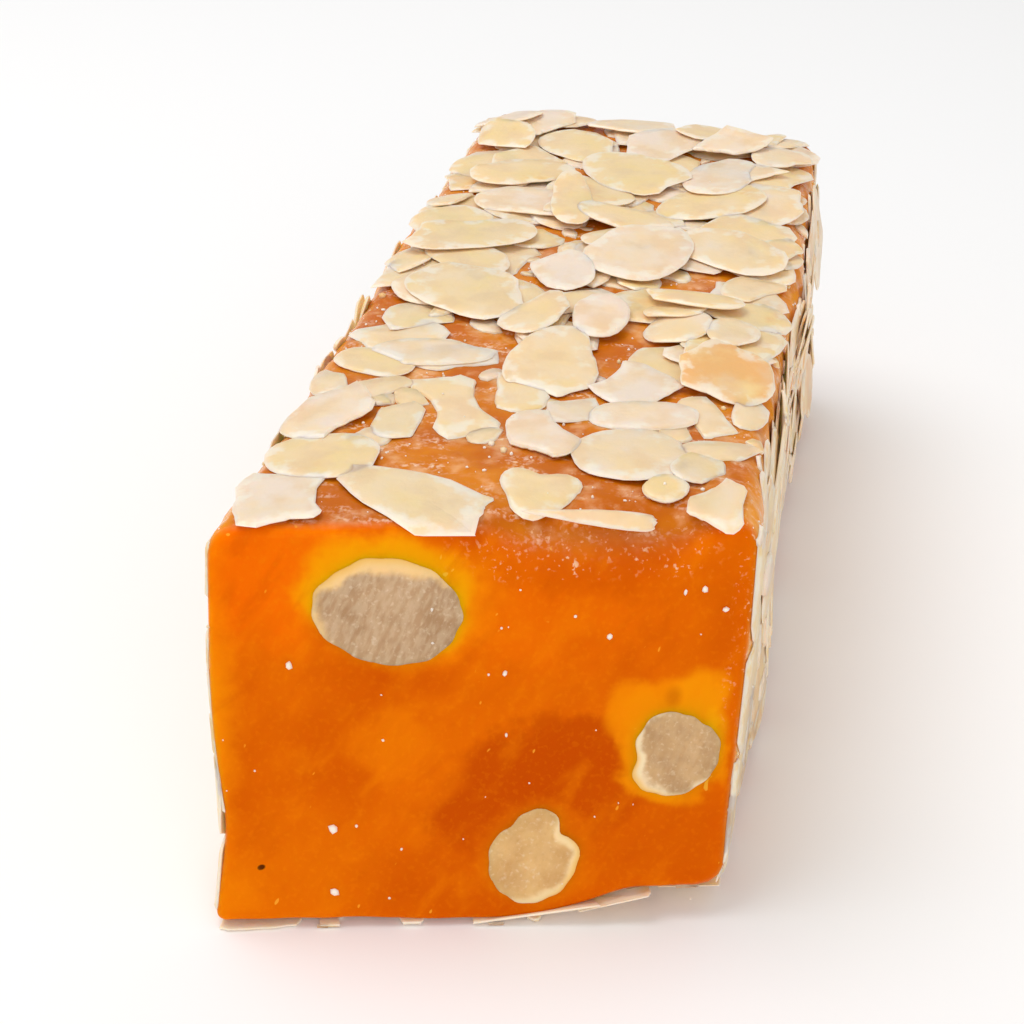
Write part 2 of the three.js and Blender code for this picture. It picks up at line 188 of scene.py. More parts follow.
FRONT_FILLERS = [
    (17.8, 18.4, 7.0, 3.2, 12, 0, 2.4, 0.4),
    (-11.6, 14.9, 4.6, 3.0, 60, 0, 2.6, 0.2),
    (3.2, 23.0, 6.4, 4.4, 20, 0, 2.4, 0.12),
    (-2.6, 17.0, 3.6, 2.4, 40, 0, 2.4, 0.4),
    (-13.2, 23.4, 6.4, 4.0, 30, 0, 2.4, 0.3),
    (18.2, 25.6, 6.0, 3.0, 85, 0, 2.4, 0.3),
    (-17.8, 24.2, 5.4, 3.6, 100, 0, 2.6, 0.2),
]
# Larger flakes that lie over the others in the middle of the top and towards its far end
MIDDLE_FLAKES = [
    (10.1, 78.4, 12.4, 7.2, 80, 0, 2.4, 0.1),
    (0.6, 77.8, 13.4, 8.8, 145, 0.2, 2.3, 0.6),
    (-10.7, 75.5, 12.0, 7.6, 20, 0.1, 2.4, 0.65),
    (-4.3, 68.0, 13.6, 4.2, 100, 0.2, 2.4, 0.5),
    (1.9, 64.4, 10.8, 5.0, 160, 0, 2.3, 0.5),
    (-12.8, 57.0, 14.2, 8.8, 25, 0.1, 2.4, 0.55),
    (13.4, 57.8, 12.4, 7.6, 150, 0, 2.3, 0.4),
    (4.8, 55.6, 13.6, 9.6, 70, 0.25, 2.2, 0.08),
    (-2.0, 49.7, 8.4, 5.6, 120, 0, 2.4, 0.0),
    (10.6, 44.8, 10.8, 4.4, 170, 0.2, 2.3, 0.7),
    (-9.7, 43.9, 13.6, 9.2, 150, 0, 2.5, 0.5),
    (-2.7, 40.1, 9.0, 5.8, 70, 0, 2.8, 0.45),
    (3.1, 40.3, 8.6, 5.2, 95, 0, 2.3, 0.05),
]
# Sides that are broken off the flakes next to the cut, by their number: the side's direction in
# degrees from the right over the far side, the depth of the break as a share, how hollow it is
FRONT_CHIPS = {
    0: [(-60, 0.1, 0.05), (15, 0.16, 0.1), (100, 0.1, 0.08), (200, 0.12, 0)],
    1: [(-8, 0.14, 0.03), (165, 0.05, 0.03), (60, 0.1, 0.02)],
    3: [(15, 0.08, 0), (-20, 0.04, 0)],
    5: [(0, 0.16, 0.06), (140, 0.2, 0.08), (-110, 0.12, 0), (60, 0.14, 0)],
    6: [(90, 0.15, 0), (-30, 0.1, 0)],
    9: [(120, 0.15, 0.04), (-40, 0.16, 0.06), (30, 0.1, 0)],
    10: [(28, 0.22, 0.07), (208, 0.2, 0.08), (120, 0.1, 0.05), (-60, 0.08, 0)],
    11: [(0, 0.18, 0), (120, 0.14, 0.05)],
    12: [(40, 0.2, 0.06), (250, 0.15, 0.05)],
    14: [(80, 0.15, 0.05), (190, 0.2, 0)],
    15: [(250, 0.08, 0.03), (20, 0.1, 0)],
    16: [(150, 0.2, 0.1), (-30, 0.14, 0.06)],
    17: [(-106, 0.11, 0), (18, 0.06, 0), (59, 0.12, 0), (187, 0.1, 0), (148, 0.08, 0)],
    18: [(30, 0.16, 0), (210, 0.16, 0), (-60, 0.1, 0)],
    19: [(60, 0.14, 0.03), (-120, 0.1, 0)],
}
CHIPS = {"given": (1, 0.1), "flake": (3, 0.4), "middle": (3, 0.34), "under": (3, 0.42), "bit": (3, 0.4)}
CHIP_HOLLOW = 0.11
CHIP_STRAIGHT = 0.35
CHIP_DEPTH_BIAS = 1.4
CHIP_ASIDE = 0.3
CHIP_TEAR = 0.035
FLAKE_RIPPLES = [(0.03, 3), (0.012, 7)]
RIPPLE_SHIFT = 6.3
HEART_FLAKE = 2
HEART_NOTCH = 0.3
NOTCH_SPREAD = 0.35
FRONT_FLAKES_END = 37

# Flakes below those, more than the solid has: their spacing on each face, their sizes, and where
# they start on the top
UNDER_SEED = 619
UNDER_PITCH = {"top": 6.8, "right": 8.2, "left": 8.2, "base": 6.2, "far": 11}
UNDER_SHORTEST = 6
UNDER_LONGEST = 12
UNDER_SIZE_BIAS = 1.3
UNDER_SLIMNESS = (0.4, 0.85)
UNDER_JITTER = 1.1
UNDER_POINTS = 14
UNDER_TOP_START = 30
UNDER_WALL_START = 9
BASE_FLAKES_BACK = 1.8
BASE_FLAKES_SHOWN = [(-17, -10), (-7, -3), (3, 11)]
BASE_FLAKES_AHEAD = 0.35
BASE_FLAKES_IN = 0.8
BASE_FLAKES_PLAY = 0.15

# Smaller bits of almond between the flakes, and chips of them on the flakes of the walls: how many
# are tried on each face, and their sizes. The top next to the cut and its bare patches stay free of
# them: across, along, and the patch's half sizes.
BIT_SEED = 977
BIT_TRIES = {"top": 90, "right": 120, "left": 120, "base": 150, "far": 50}
CHIP_SEED = 2203
CHIP_TRIES = {"right": 40, "left": 40, "far": 10}
BITS_START = 20
BIT_SHORTEST = 1.6
BIT_LONGEST = 4.8
BIT_SIZE_BIAS = 1.5
BIT_SLIMNESS = (0.3, 0.8)
BIT_BEHIND_CUT = 0.3
BIT_LOOSENESS = 0.6
BIT_POINTS = 10
BIT_THIN = 0.2
BIT_THICK = 0.36
BARE_PATCHES = [(-4.5, 12.6, 5.5, 3.2), (8.5, 9.8, 3.6, 2.6), (9, 2.8, 9, 2.6), (18.4, 17, 1.8, 3.4)]

# Starch grains and almond crumbs
GRAIN_SEED = 331
GRAIN_COUNTS = {"top": 800, "right": 320, "left": 320, "far": 160}
CUT_GRAINS = 26
GRAIN_SMALLEST = 0.12
GRAIN_LARGEST = 0.36
CRUMB_SEED = 1213
CRUMB_COUNTS = {"top": 110, "right": 90, "left": 90, "far": 30}
CRUMB_SMALLEST = 0.3
CRUMB_LARGEST = 0.8
CRUMB_RIM = 0.7
CUT_GRAIN_LARGEST = 0.3
CUT_GRAIN_MARGINS = (1, 1, 2.5)
GRAINS_ON_FLAKES = 0.03
LUMP_STRETCH = (0.7, 1.3)
LUMP_UNEVENNESS = (0.75, 1.25)
LUMP_LIFT = 0.1
LUMP_LONGEST_SIDE = 1.2
LUMP_BEHIND_CUT = 0.4
LUMP_LEAST_HEIGHT = -2.5
BARE_WITHIN = 0.02

# White specks that show plainly in the cut face: across, up, size
CUT_SPECKS = [
    (-14.0, 22.2, 0.6),
    (2.1, 21.3, 0.5),
    (9.8, 24.1, 0.5),
    (-10.5, 8.7, 0.75),
    (-10.3, 3.3, 0.7),
    (18.3, 26.1, 0.55),
    (16.6, 27.7, 0.5),
    (15.2, 27.5, 0.4),
]

# Hazelnuts: middle of the section in the cut face, its size, turn, depth, drift and swell behind
# the cut, bumps in the outline, each with its direction, spread and amount, how far the cut's own
# shades are shifted from the outline, which leaves a rim on one side, how plain the knife's streaks
# are, and the shades: dark, pale, rim
NUTS = {
    "hazelnut_upper_left": {
        "middle": (-6.9, 26.4),
        "size": (11.4, 8.2),
        "turn": -12,
        "depth": 6.2,
        "drift": (0.2, 0.5),
        "swell": 0.05,
        "bumps": [(2.6, 0.5, -0.07), (5.2, 0.5, 0.05)],
        "rim_shift": (0.5, -1.0),
        "streaks": 0.26,
        "shades": ((164, 122, 78), (195, 155, 112), (252, 206, 136)),
    },
    "hazelnut_right": {
        "middle": (15.3, 14.3),
        "size": (7.2, 6.6),
        "turn": 35,
        "depth": 9.2,
        "drift": (-1.6, 3.0),
        "swell": 0.32,
        "bumps": [(2.55, 0.3, -0.22), (1.35, 0.35, 0.12), (0.3, 0.5, -0.06)],
        "rim_shift": (0.75, 0.55),
        "streaks": 0.1,
        "shades": ((168, 124, 74), (212, 170, 116), (252, 224, 180)),
    },
    "hazelnut_lower": {
        "middle": (5.0, 5.9),
        "size": (8.0, 7.0),
        "turn": 80,
        "depth": 4.4,
        "drift": (0, 0.8),
        "swell": 0.02,
        "bumps": [(5.6, 0.32, -0.26), (0.85, 0.35, -0.1), (0.05, 0.3, 0.05)],
        "rim_shift": (-0.8, 0.3),
        "streaks": 0.06,
        "shades": ((196, 142, 74), (230, 186, 118), (252, 216, 160)),
    },
}
NUT_POINTS = 72
NUT_RINGS = 10
NUT_INSETS = (0.04, 0.06, 0.08, 0.1, 0.12, 0.15, 0.2)
NUT_PROUD = 0.05
POCKET_GAP = -0.03
POCKET_FRONT = 2
NUT_RAGGED = 0.012
NUT_RAGGED_TURNS = (7, 13)
NUT_BLUNTNESS = 0.7
NUT_SWELL_RUN = 1.1
NUT_UNEVEN = 0.03
NUT_UNEVEN_TURNS = (2.1, 1.7)
NUT_UNEVEN_SHIFT = 0.8
NUT_SIDE_RIM = 1.2
NUT_CROWN_REACH = 0.99
NUT_CREASE = 50
AT_CUT = 0.001

# Camera, at the place that the photograph's perspective gives
CAMERA_AT = (25.44, -112.3, 103.9)
CAMERA_AIM = (-4.3, 36.17, 14.9)
CAMERA_FOCAL_PIXELS = 1850
IMAGE_PIXELS = 1024
SENSOR_WIDTH = 36
CAMERA_NEAREST = 0.01

# Floor and light, in metres and watts: each softbox's place, aim, size and power
FLOOR_SIZE = 6
ROOM_LIGHT = 0.62
SOFTBOXES = {
    "top_softbox": ((-0.25, 0.05, 0.62), (0, 0, 0.02), 0.5, 2.1),
    "front_fill": ((0.25, -0.67, 0.35), (0, -0.03, 0.015), 0.6, 1.5),
}

half_width = WIDTH / 2
half_height = JELLY_HEIGHT / 2
jelly_bottom = BASE_COATING
jelly_top = BASE_COATING + JELLY_HEIGHT
jelly_middle = (jelly_bottom + jelly_top) / 2


# Measures and small helpers


def metres(points):
    return (np.asarray(points, dtype=float) - FRAME_ORIGIN) * MM


def smooth_step(value, low, high):
    share = np.clip((np.asarray(value, dtype=float) - low) / (high - low), 0, 1)
    return share * share * (3 - 2 * share)


def blend(a, b, share):
    return a + (b - a) * share


def seeded_draw(seed):
    state = seed

    def draw():
        nonlocal state
        state = (state * 48271) % 2147483647
        return state / 2147483647

    return draw


def cut_plane_along(across, up):
    return CUT_SLANT_ACROSS * across + CUT_SLANT_UP * (up - jelly_middle)


def vertex_array(mesh):
    points = np.empty(len(mesh.vertices) * 3)
    mesh.vertices.foreach_get("co", points)
    return points.reshape(-1, 3)


def set_vertices(mesh, points):
    mesh.vertices.foreach_set("co", np.asarray(points, dtype=float).ravel())
    mesh.update()


def deselect_all():
    bpy.ops.object.select_all(action="DESELECT")


def select_faces(mesh, test):
    bpy.ops.mesh.select_all(action="DESELECT")
    bpy.ops.object.mode_set(mode="OBJECT")
    for face in mesh.polygons:
        face.select = test(face)
    bpy.ops.object.mode_set(mode="EDIT")


def select_edges(mesh, test):
    bpy.ops.mesh.select_all(action="DESELECT")
    bpy.ops.object.mode_set(mode="OBJECT")
    for edge in mesh.edges:
        start, end = (mesh.vertices[index].co for index in edge.vertices)
        edge.select = test(start, end)
    bpy.ops.object.mode_set(mode="EDIT")


def finish_piece(piece, material, node):
    piece.data.materials.clear()
    piece.data.materials.append(material)
    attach(piece, "root")
    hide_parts(node)


# Finishes


def colour(red, green, blue):
    """Linear colour from display values of 0 to 255."""
    shares = [value / 255 for value in (red, green, blue)]
    linear = [s / 12.92 if s <= 0.04045 else ((s + 0.055) / 1.055) ** 2.4 for s in shares]
    return (*linear, 1.0)


class Finish:
    """A node material that works in the bar's own millimetres."""

    def __init__(self, name):
        self.material = bpy.data.materials.new(name)
        self.material.use_nodes = True
        self.tree = self.material.node_tree
        self.surface = self.tree.nodes["Principled BSDF"]

    def add(self, kind, inputs, **settings):
        node = self.tree.nodes.new(kind)
        for name, value in settings.items():
            setattr(node, name, value)
        for key, value in inputs.items():
            self.put(node.inputs[key], value)
        return node

    def put(self, socket, value):
        if isinstance(value, bpy.types.NodeSocket):
            self.tree.links.new(value, socket)
        else:
            socket.default_value = value

    def set(self, sockets):
        for name, value in sockets.items():
            self.put(self.surface.inputs[name], value)

    def place(self):
        coordinates = self.add("ShaderNodeTexCoord", {}).outputs["Object"]
        inputs = {"Vector": coordinates, "Location": FRAME_ORIGIN, "Scale": (1 / MM, 1 / MM, 1 / MM)}
        return self.add("ShaderNodeMapping", inputs).outputs["Vector"]

    def math(self, operation, a, b, clamp=False):
        return self.add("ShaderNodeMath", {0: a, 1: b}, operation=operation, use_clamp=clamp).outputs[0]

    def vector_math(self, operation, a, b, output=0):
        return self.add("ShaderNodeVectorMath", {0: a, 1: b}, operation=operation).outputs[output]

    def ease(self, value, low, high, start=0.0, end=1.0):
        inputs = {"Value": value, "From Min": low, "From Max": high, "To Min": start, "To Max": end}
        return self.add("ShaderNodeMapRange", inputs, interpolation_type="SMOOTHSTEP").outputs["Result"]

    def mix(self, share, a, b):
        node = self.add("ShaderNodeMix", {}, data_type="RGBA")
        for index, value in ((0, share), (6, a), (7, b)):
            self.put(node.inputs[index], value)
        return node.outputs[2]

    def noise(self, place, scale, detail=3.0, distortion=0.0):
        inputs = {"Vector": place, "Scale": scale, "Detail": detail, "Distortion": distortion}
        return self.add("ShaderNodeTexNoise", inputs).outputs["Fac"]

    def spot(self, place, middle, radii, turn=0.0):
        """Distance from a middle, 1 on the ellipsoid with these radii, turned in the cut face."""
        away = self.vector_math("SUBTRACT", place, middle)
        inputs = {"Vector": away, "Axis": (0, 1, 0), "Angle": math.radians(turn)}
        turned = self.add("ShaderNodeVectorRotate", inputs).outputs[0]
        return self.vector_math("LENGTH", self.vector_math("DIVIDE", turned, radii), (0, 0, 0), "Value")

    def ramp(self, value, stops):
        node = self.add("ShaderNodeValToRGB", {"Fac": value})
        elements = node.color_ramp.elements
        for _ in stops[2:]:
            elements.new(0.5)
        for element, (position, shade) in zip(elements, stops):
            element.position = position
            element.color = shade
        return node.outputs["Color"]

    def drawn_out(self, place, turn, stretch):
        """Places for a pattern that is drawn out along a direction in the cut face."""
        inputs = {"Vector": place, "Rotation": (0, math.radians(-turn), 0), "Scale": (stretch, 1, 1)}
        return self.add("ShaderNodeMapping", inputs, vector_type="TEXTURE").outputs["Vector"]

    def bump(self, height, strength, distance):
        inputs = {"Height": height, "Strength": strength, "Distance": distance * MM}
        return self.add("ShaderNodeBump", inputs).outputs["Normal"]

    def attribute(self, name):
        return self.add("ShaderNodeAttribute", {}, attribute_name=name).outputs["Fac"]

    def depth_behind_cut(self, place):
        slants = (-CUT_SLANT_ACROSS, 1, -CUT_SLANT_UP)
        along = self.vector_math("DOT_PRODUCT", place, slants, "Value")
        return self.math("ADD", along, CUT_SLANT_UP * jelly_middle)


# Soft patches of colour in the cut jelly: middle across and up, half sizes across and up, turn,
# colour, where the edge starts and ends as shares of the half sizes, strength
JELLY_PATCHES = [
    ((5.5, 11.6), (10.5, 6.4), 16, (195, 71, 0), 0.74, 1.02, 0.76),
    ((13, 8.5), (9, 6.5), 0, (209, 87, 0), 0.3, 1.0, 0.55),
    ((-1, 4.5), (12, 5), 0, (211, 89, 0), 0.3, 1.0, 0.6),
    ((-16, 29), (12, 8), 0, (251, 115, 1), 0.2, 1.0, 0.8),
    ((-20.6, 17), (3.6, 24), 0, (252, 148, 4), 0.15, 1.0, 0.85),
    ((-14, 5), (9, 8), 0, (230, 114, 1), 0.2, 1.0, 0.7),
    ((-19, 3), (4.5, 4), 0, (242, 132, 2), 0.2, 1.0, 0.7),
    ((4, 25), (9, 6), 0, (241, 114, 1), 0.2, 1.0, 0.65),
    ((13, 25.5), (7, 4.5), 0, (240, 114, 1), 0.2, 1.0, 0.5),
    ((16.5, 24.6), (5.6, 5.0), -20, (214, 95, 0), 0.4, 1.05, 0.4),
    ((-6.1, 15.8), (4.2, 4.0), 0, (239, 125, 2), 0.5, 1.04, 0.65),
    ((-3.2, 12.4), (3.8, 2.6), 30, (238, 120, 2), 0.5, 1.04, 0.5),
    # painted shadow: a darker band under the upper left hazelnut
    ((-5.5, 21.2), (5.0, 1.8), -12, (208, 84, 0), 0.3, 1.0, 0.5),
    # painted glow: two yellow halos of light round the upper left hazelnut
    ((-6.2, 27.2), (8.6, 6.0), -12, (254, 146, 3), 0.5, 1.08, 0.85),
    ((-6.9, 27.5), (6.7, 4.6), -12, (255, 168, 4), 0.82, 1.16, 0.8),
    ((14.4, 17.9), (4.0, 2.9), 8, (245, 142, 3), 0.66, 1.05, 0.85),
    ((11.9, 17.9), (2.5, 3.2), 12, (246, 144, 3), 0.6, 1.05, 0.8),
    ((16.9, 18.9), (2.9, 2.6), 25, (248, 152, 5), 0.56, 1.05, 0.9),
    # painted glow: a yellow ring of light round the right hazelnut
    ((15.2, 14.3), (4.7, 4.3), 0, (245, 146, 4), 0.8, 1.05, 0.9),
    ((18.4, 16.8), (1.2, 2.0), 20, (255, 172, 8), 0.3, 1.0, 0.7),
    ((14.9, 19.0), (0.9, 1.3), 0, (206, 100, 2), 0.1, 1.0, 0.6),
    # painted glow: a lighter ring round the lower hazelnut
    ((5.2, 6.0), (4.9, 5.2), 0, (232, 118, 3), 0.8, 1.05, 0.5),
    ((-16.0, 5.5), (0.34, 0.24), 20, (74, 30, 4), 0.6, 1.05, 0.95),
]


def cut_paint(finish, place):
    """Colours of the jelly in the cut: clouds, patches, among them painted glows round the hazelnuts and a
    painted shadow under one, marbling and faint smears of the knife.
    """
    cloud = finish.noise(place, 0.09, 2.0)
    paint = finish.mix(finish.ease(cloud, 0.35, 0.65), colour(229, 109, 1), colour(217, 95, 0))
    wander = finish.ease(finish.noise(place, 0.35, 4.0), 0.25, 0.75, -0.13, 0.13)
    for (across, up), (wide, high), turn, shade, inner, outer, strength in JELLY_PATCHES:
        middle = (across, cut_plane_along(across, up), up)
        distance = finish.spot(place, middle, (wide, 8 + wide, high), turn)
        edge = finish.math("ADD", distance, wander)
        paint = finish.mix(finish.ease(edge, inner, outer, strength, 0.0), paint, colour(*shade))
    marble = finish.noise(finish.drawn_out(place, 52, 2.6), 0.4, 4.0, 0.4)
    paint = finish.mix(finish.ease(marble, 0.5, 0.74, 0.0, 0.3), paint, colour(248, 140, 4))
    paint = finish.mix(finish.ease(marble, 0.48, 0.28, 0.0, 0.28), paint, colour(204, 80, 0))
    grain = finish.noise(place, 2.4, 2.0)
    paint = finish.mix(finish.ease(grain, 0.5, 0.74, 0.0, 0.13), paint, colour(250, 150, 16))
    flecks = finish.ease(finish.noise(finish.drawn_out(place, 62, 2.4), 1.5, 1.0), 0.76, 0.8, 0.0, 0.6)
    return finish.mix(flecks, paint, colour(255, 190, 60))


def skin_paint(finish, place):
    """Colours of the jelly's own skin between the flakes, with smears and specks of starch."""
    haze = finish.noise(place, 0.16, 3.0)
    paint = finish.mix(finish.ease(haze, 0.38, 0.66), colour(195, 99, 4), colour(216, 126, 13))
    across = finish.add("ShaderNodeSeparateXYZ", {0: place}).outputs[0]
    edge = finish.ease(finish.math("ABSOLUTE", across, 0), 18.0, 20.0, 0.0, 0.7)
    paint = finish.mix(edge, paint, colour(247, 158, 30))
    inputs = {"Vector": place, "Rotation": (0, 0, math.radians(-50)), "Scale": (0.35, 1.3, 1)}
    drawn = finish.add("ShaderNodeMapping", inputs).outputs["Vector"]
    smears = finish.ease(finish.noise(drawn, 0.6, 4.0), 0.48, 0.74, 0.0, 0.7)
    speckle = finish.ease(finish.noise(place, 2.6, 2.0), 0.44, 0.66)
    dusty = finish.math("MULTIPLY", smears, speckle)
    bloom = finish.ease(finish.noise(place, 0.5, 9.0), 0.48, 0.72, 0.0, 0.52)
    paint = finish.mix(bloom, paint, colour(238, 188, 140))
    return finish.mix(dusty, paint, colour(252, 226, 200))


def frost_share(finish, place, depth):
    """Where starch clings along the top edge that the knife dragged down, and along the right edge."""
    start, full, fade, end = TOP_EDGE_BARE
    across, _, up = finish.add("ShaderNodeSeparateXYZ", {0: place}).outputs
    fading = finish.ease(across, fade, end, 1.0, 0.0)
    bare = finish.math("MULTIPLY", finish.ease(across, start, full), fading)
    line = finish.ease(depth, 0.5, 1.5, 1.0, 0.25)
    near = finish.math("MULTIPLY", line, finish.ease(depth, 1.6, 3.4, 1.0, 0.0))
    near = finish.math("MULTIPLY", near, finish.ease(up, *FROST_STARTS_UP))
    patchy = finish.ease(finish.noise(place, 0.5, 2.0), 0.4, 0.62, 0.15, 1.0)
    speckle = finish.ease(finish.noise(place, 2.4, 4.0), 0.58, 0.68, 0.0, 0.8)
    grains = finish.math("MULTIPLY", patchy, speckle)
    top_edge = finish.math("MULTIPLY", bare, near)
    high_enough = finish.ease(up, *FROST_RISES_RIGHT, 0.0, 0.7)
    right_edge = finish.math("MULTIPLY", finish.ease(across, *FROST_STARTS_RIGHT), high_enough)
    return finish.math("MULTIPLY", finish.math("MAXIMUM", top_edge, right_edge), grains)


def jelly_finish():
    finish = Finish("amber_jelly")
    place = finish.place()
    depth = finish.depth_behind_cut(place)
    skin = finish.ease(depth, *SKIN_STARTS)
    paint = finish.mix(skin, cut_paint(finish, place), skin_paint(finish, place))
    paint = finish.mix(frost_share(finish, place, depth), paint, colour(250, 214, 176))
    relief = finish.noise(place, 0.45, 5.0)
    finish.set({
        "Base Color": paint,
        "Roughness": finish.ease(depth, *SKIN_STARTS, 0.3, 0.26),
        "IOR": 1.4,
        "Specular IOR Level": finish.ease(depth, *SKIN_STARTS, 0.02, 0.18),
        "Subsurface Weight": 0.6,
        "Subsurface Scale": MM,
        "Subsurface Radius": (1.4, 0.8, 0.3),
        "Normal": finish.bump(relief, 0.3, 0.5),
    })
    return finish.material


def almond_finish(name):
    finish = Finish(name)
    place = finish.place()
    tone = finish.attribute("tone")
    inputs = {"Vector": place, "W": finish.math("MULTIPLY", tone, 40), "Scale": 0.3, "Detail": 3.0}
    stain = finish.add("ShaderNodeTexNoise", inputs, noise_dimensions="4D").outputs["Fac"]
    shift = finish.math("MULTIPLY", finish.math("SUBTRACT", stain, 0.5), 1.2)
    paint = finish.ramp(finish.math("ADD", tone, shift, True), [
        (0.0, colour(249, 217, 195)),
        (0.25, colour(252, 213, 175)),
        (0.5, colour(253, 210, 160)),
        (0.75, colour(251, 208, 146)),
        (1.0, colour(242, 178, 110)),
    ])
    soaked = finish.ease(finish.noise(place, 0.3, 3.0), 0.44, 0.7, 0.0, 0.7)
    paint = finish.mix(soaked, paint, colour(240, 196, 152))
    mottle = finish.ease(finish.noise(place, 0.55, 3.0), 0.3, 0.7, -0.3, 0.3)
    # Painted highlight: the flakes are painted paler towards their rims, broken up by the mottle, for the
    # light that catches their thin edges.
    rim = finish.attribute("rim")
    bloom = finish.ease(finish.math("ADD", rim, mottle), 0.7, 1.1, 0.0, 0.65)
    paint = finish.mix(bloom, paint, colour(255, 236, 216))
    # Painted light: the side faces below the rim are painted near white to lighten the shade on them.
    paint = finish.mix(finish.ease(rim, 1.0, 1.1, 0.0, 0.7), paint, colour(255, 234, 204))
    fibre = finish.noise(place, 1.6, 4.0)
    finish.set({
        "Base Color": paint,
        "Roughness": 0.32,
        "Subsurface Weight": 0.5,
        "Subsurface Scale": MM,
        "Subsurface Radius": (1.0, 0.7, 0.4),
        "Normal": finish.bump(fibre, 0.3, 0.2),
    })
    return finish.material


def starch_finish():
    finish = Finish("starch")
    place = finish.place()
    paint = finish.mix(finish.noise(place, 2.0), colour(255, 246, 236), colour(250, 226, 200))
    finish.set({
        "Base Color": paint,
        "Roughness": 0.7,
        "Subsurface Weight": 0.2,
        "Subsurface Scale": MM,
        "Subsurface Radius": (0.6, 0.4, 0.3),
    })
    return finish.material


def hazelnut_finish(name, streaks, dark, pale, rim_shade):
    finish = Finish(name)
    place = finish.place()
    lines = finish.ease(finish.noise(finish.drawn_out(place, 68, 9), 2.6, 4.0), 0.35, 0.65)
    blotch = finish.noise(place, 0.35, 4.0)
    paint = finish.mix(finish.ease(blotch, 0.28, 0.72, 0.25, 0.95), colour(*dark), colour(*pale))
    grain = finish.noise(place, 2.6, 4.0)
    paint = finish.mix(finish.ease(grain, 0.5, 0.75, 0.0, 0.3), paint, colour(*dark))
    paint = finish.mix(finish.math("MULTIPLY", lines, streaks), paint, colour(238, 214, 180))
    pale_grains = finish.ease(finish.noise(place, 3.0, 4.0), 0.54, 0.74, 0.0, 0.3)
    paint = finish.mix(pale_grains, paint, colour(246, 226, 194))
    ragged_rim = finish.math("ADD", finish.attribute("rim"), finish.ease(blotch, 0.3, 0.7, -0.1, 0.1))
    rim = finish.ease(ragged_rim, 0.92, 1.12, 0.0, 0.92)
    paint = finish.mix(rim, paint, colour(*rim_shade))
    glow = finish.ease(finish.attribute("rim"), 1.06, 1.26, 0.0, 0.8)
    paint = finish.mix(glow, paint, colour(255, 184, 56))
    finish.set({
        "Base Color": paint,
        "Roughness": 0.5,
        "Subsurface Weight": 0.3,
        "Subsurface Scale": MM,
        "Subsurface Radius": (1.5, 0.9, 0.5),
        "Normal": finish.bump(lines, 0.15, 0.06),
    })
    return finish.material


# Hazelnuts


def nut_shape(nut, unit_u, unit_v, share, grow):
    """Places on a kernel, from a unit circle drawn out along the share of the kernel's depth."""
    angle = np.arctan2(unit_v, unit_u)
    bump = np.ones_like(angle)
    for direction, spread, amount in nut["bumps"]:
        away = np.arctan2(np.sin(angle - direction), np.cos(angle - direction))
        bump += amount * np.exp(-((away / spread) ** 2)) * (1 - share)
    coarse, fine = NUT_RAGGED_TURNS
    ragged = np.sin(coarse * angle + nut["depth"]) + np.sin(fine * angle)
    bump += NUT_RAGGED * ragged * (1 - share)
    swelling = 1 + nut["swell"] * np.sin(math.pi * np.minimum(1, share * NUT_SWELL_RUN))
    size = np.sqrt(1 - share**4) * swelling * bump
    u = unit_u * (nut["size"][0] / 2 * size + grow)
    v = unit_v * (nut["size"][1] / 2 * size + grow)
    turn = math.radians(nut["turn"])
    across = nut["middle"][0] + nut["drift"][0] * share + u * math.cos(turn) - v * math.sin(turn)
    up = nut["middle"][1] + nut["drift"][1] * share + u * math.sin(turn) + v * math.cos(turn)
    return across, up


def drawn_out_disc(name):
    """A disc drawn out ring by ring into a rounded plug, from 0 at the cut towards 1 behind it."""
    deselect_all()
    bpy.ops.mesh.primitive_circle_add(
        vertices=NUT_POINTS, radius=1, fill_type="NGON", rotation=(math.pi / 2, 0, 0)
    )
    plug = bpy.context.object
    plug.name = name
    bpy.ops.object.transform_apply(location=True, rotation=True, scale=True)
    bpy.ops.object.mode_set(mode="EDIT")
    bpy.ops.mesh.select_mode(type="FACE")
    bpy.ops.mesh.select_all(action="SELECT")
    reached = 0.0
    for ring in range(1, NUT_RINGS + 1):
        share = math.sin(math.pi / 2 * ring / (NUT_RINGS + NUT_BLUNTNESS))
        bpy.ops.mesh.extrude_region_move(TRANSFORM_OT_translate={"value": (0, share - reached, 0)})
        reached = share
    return plug


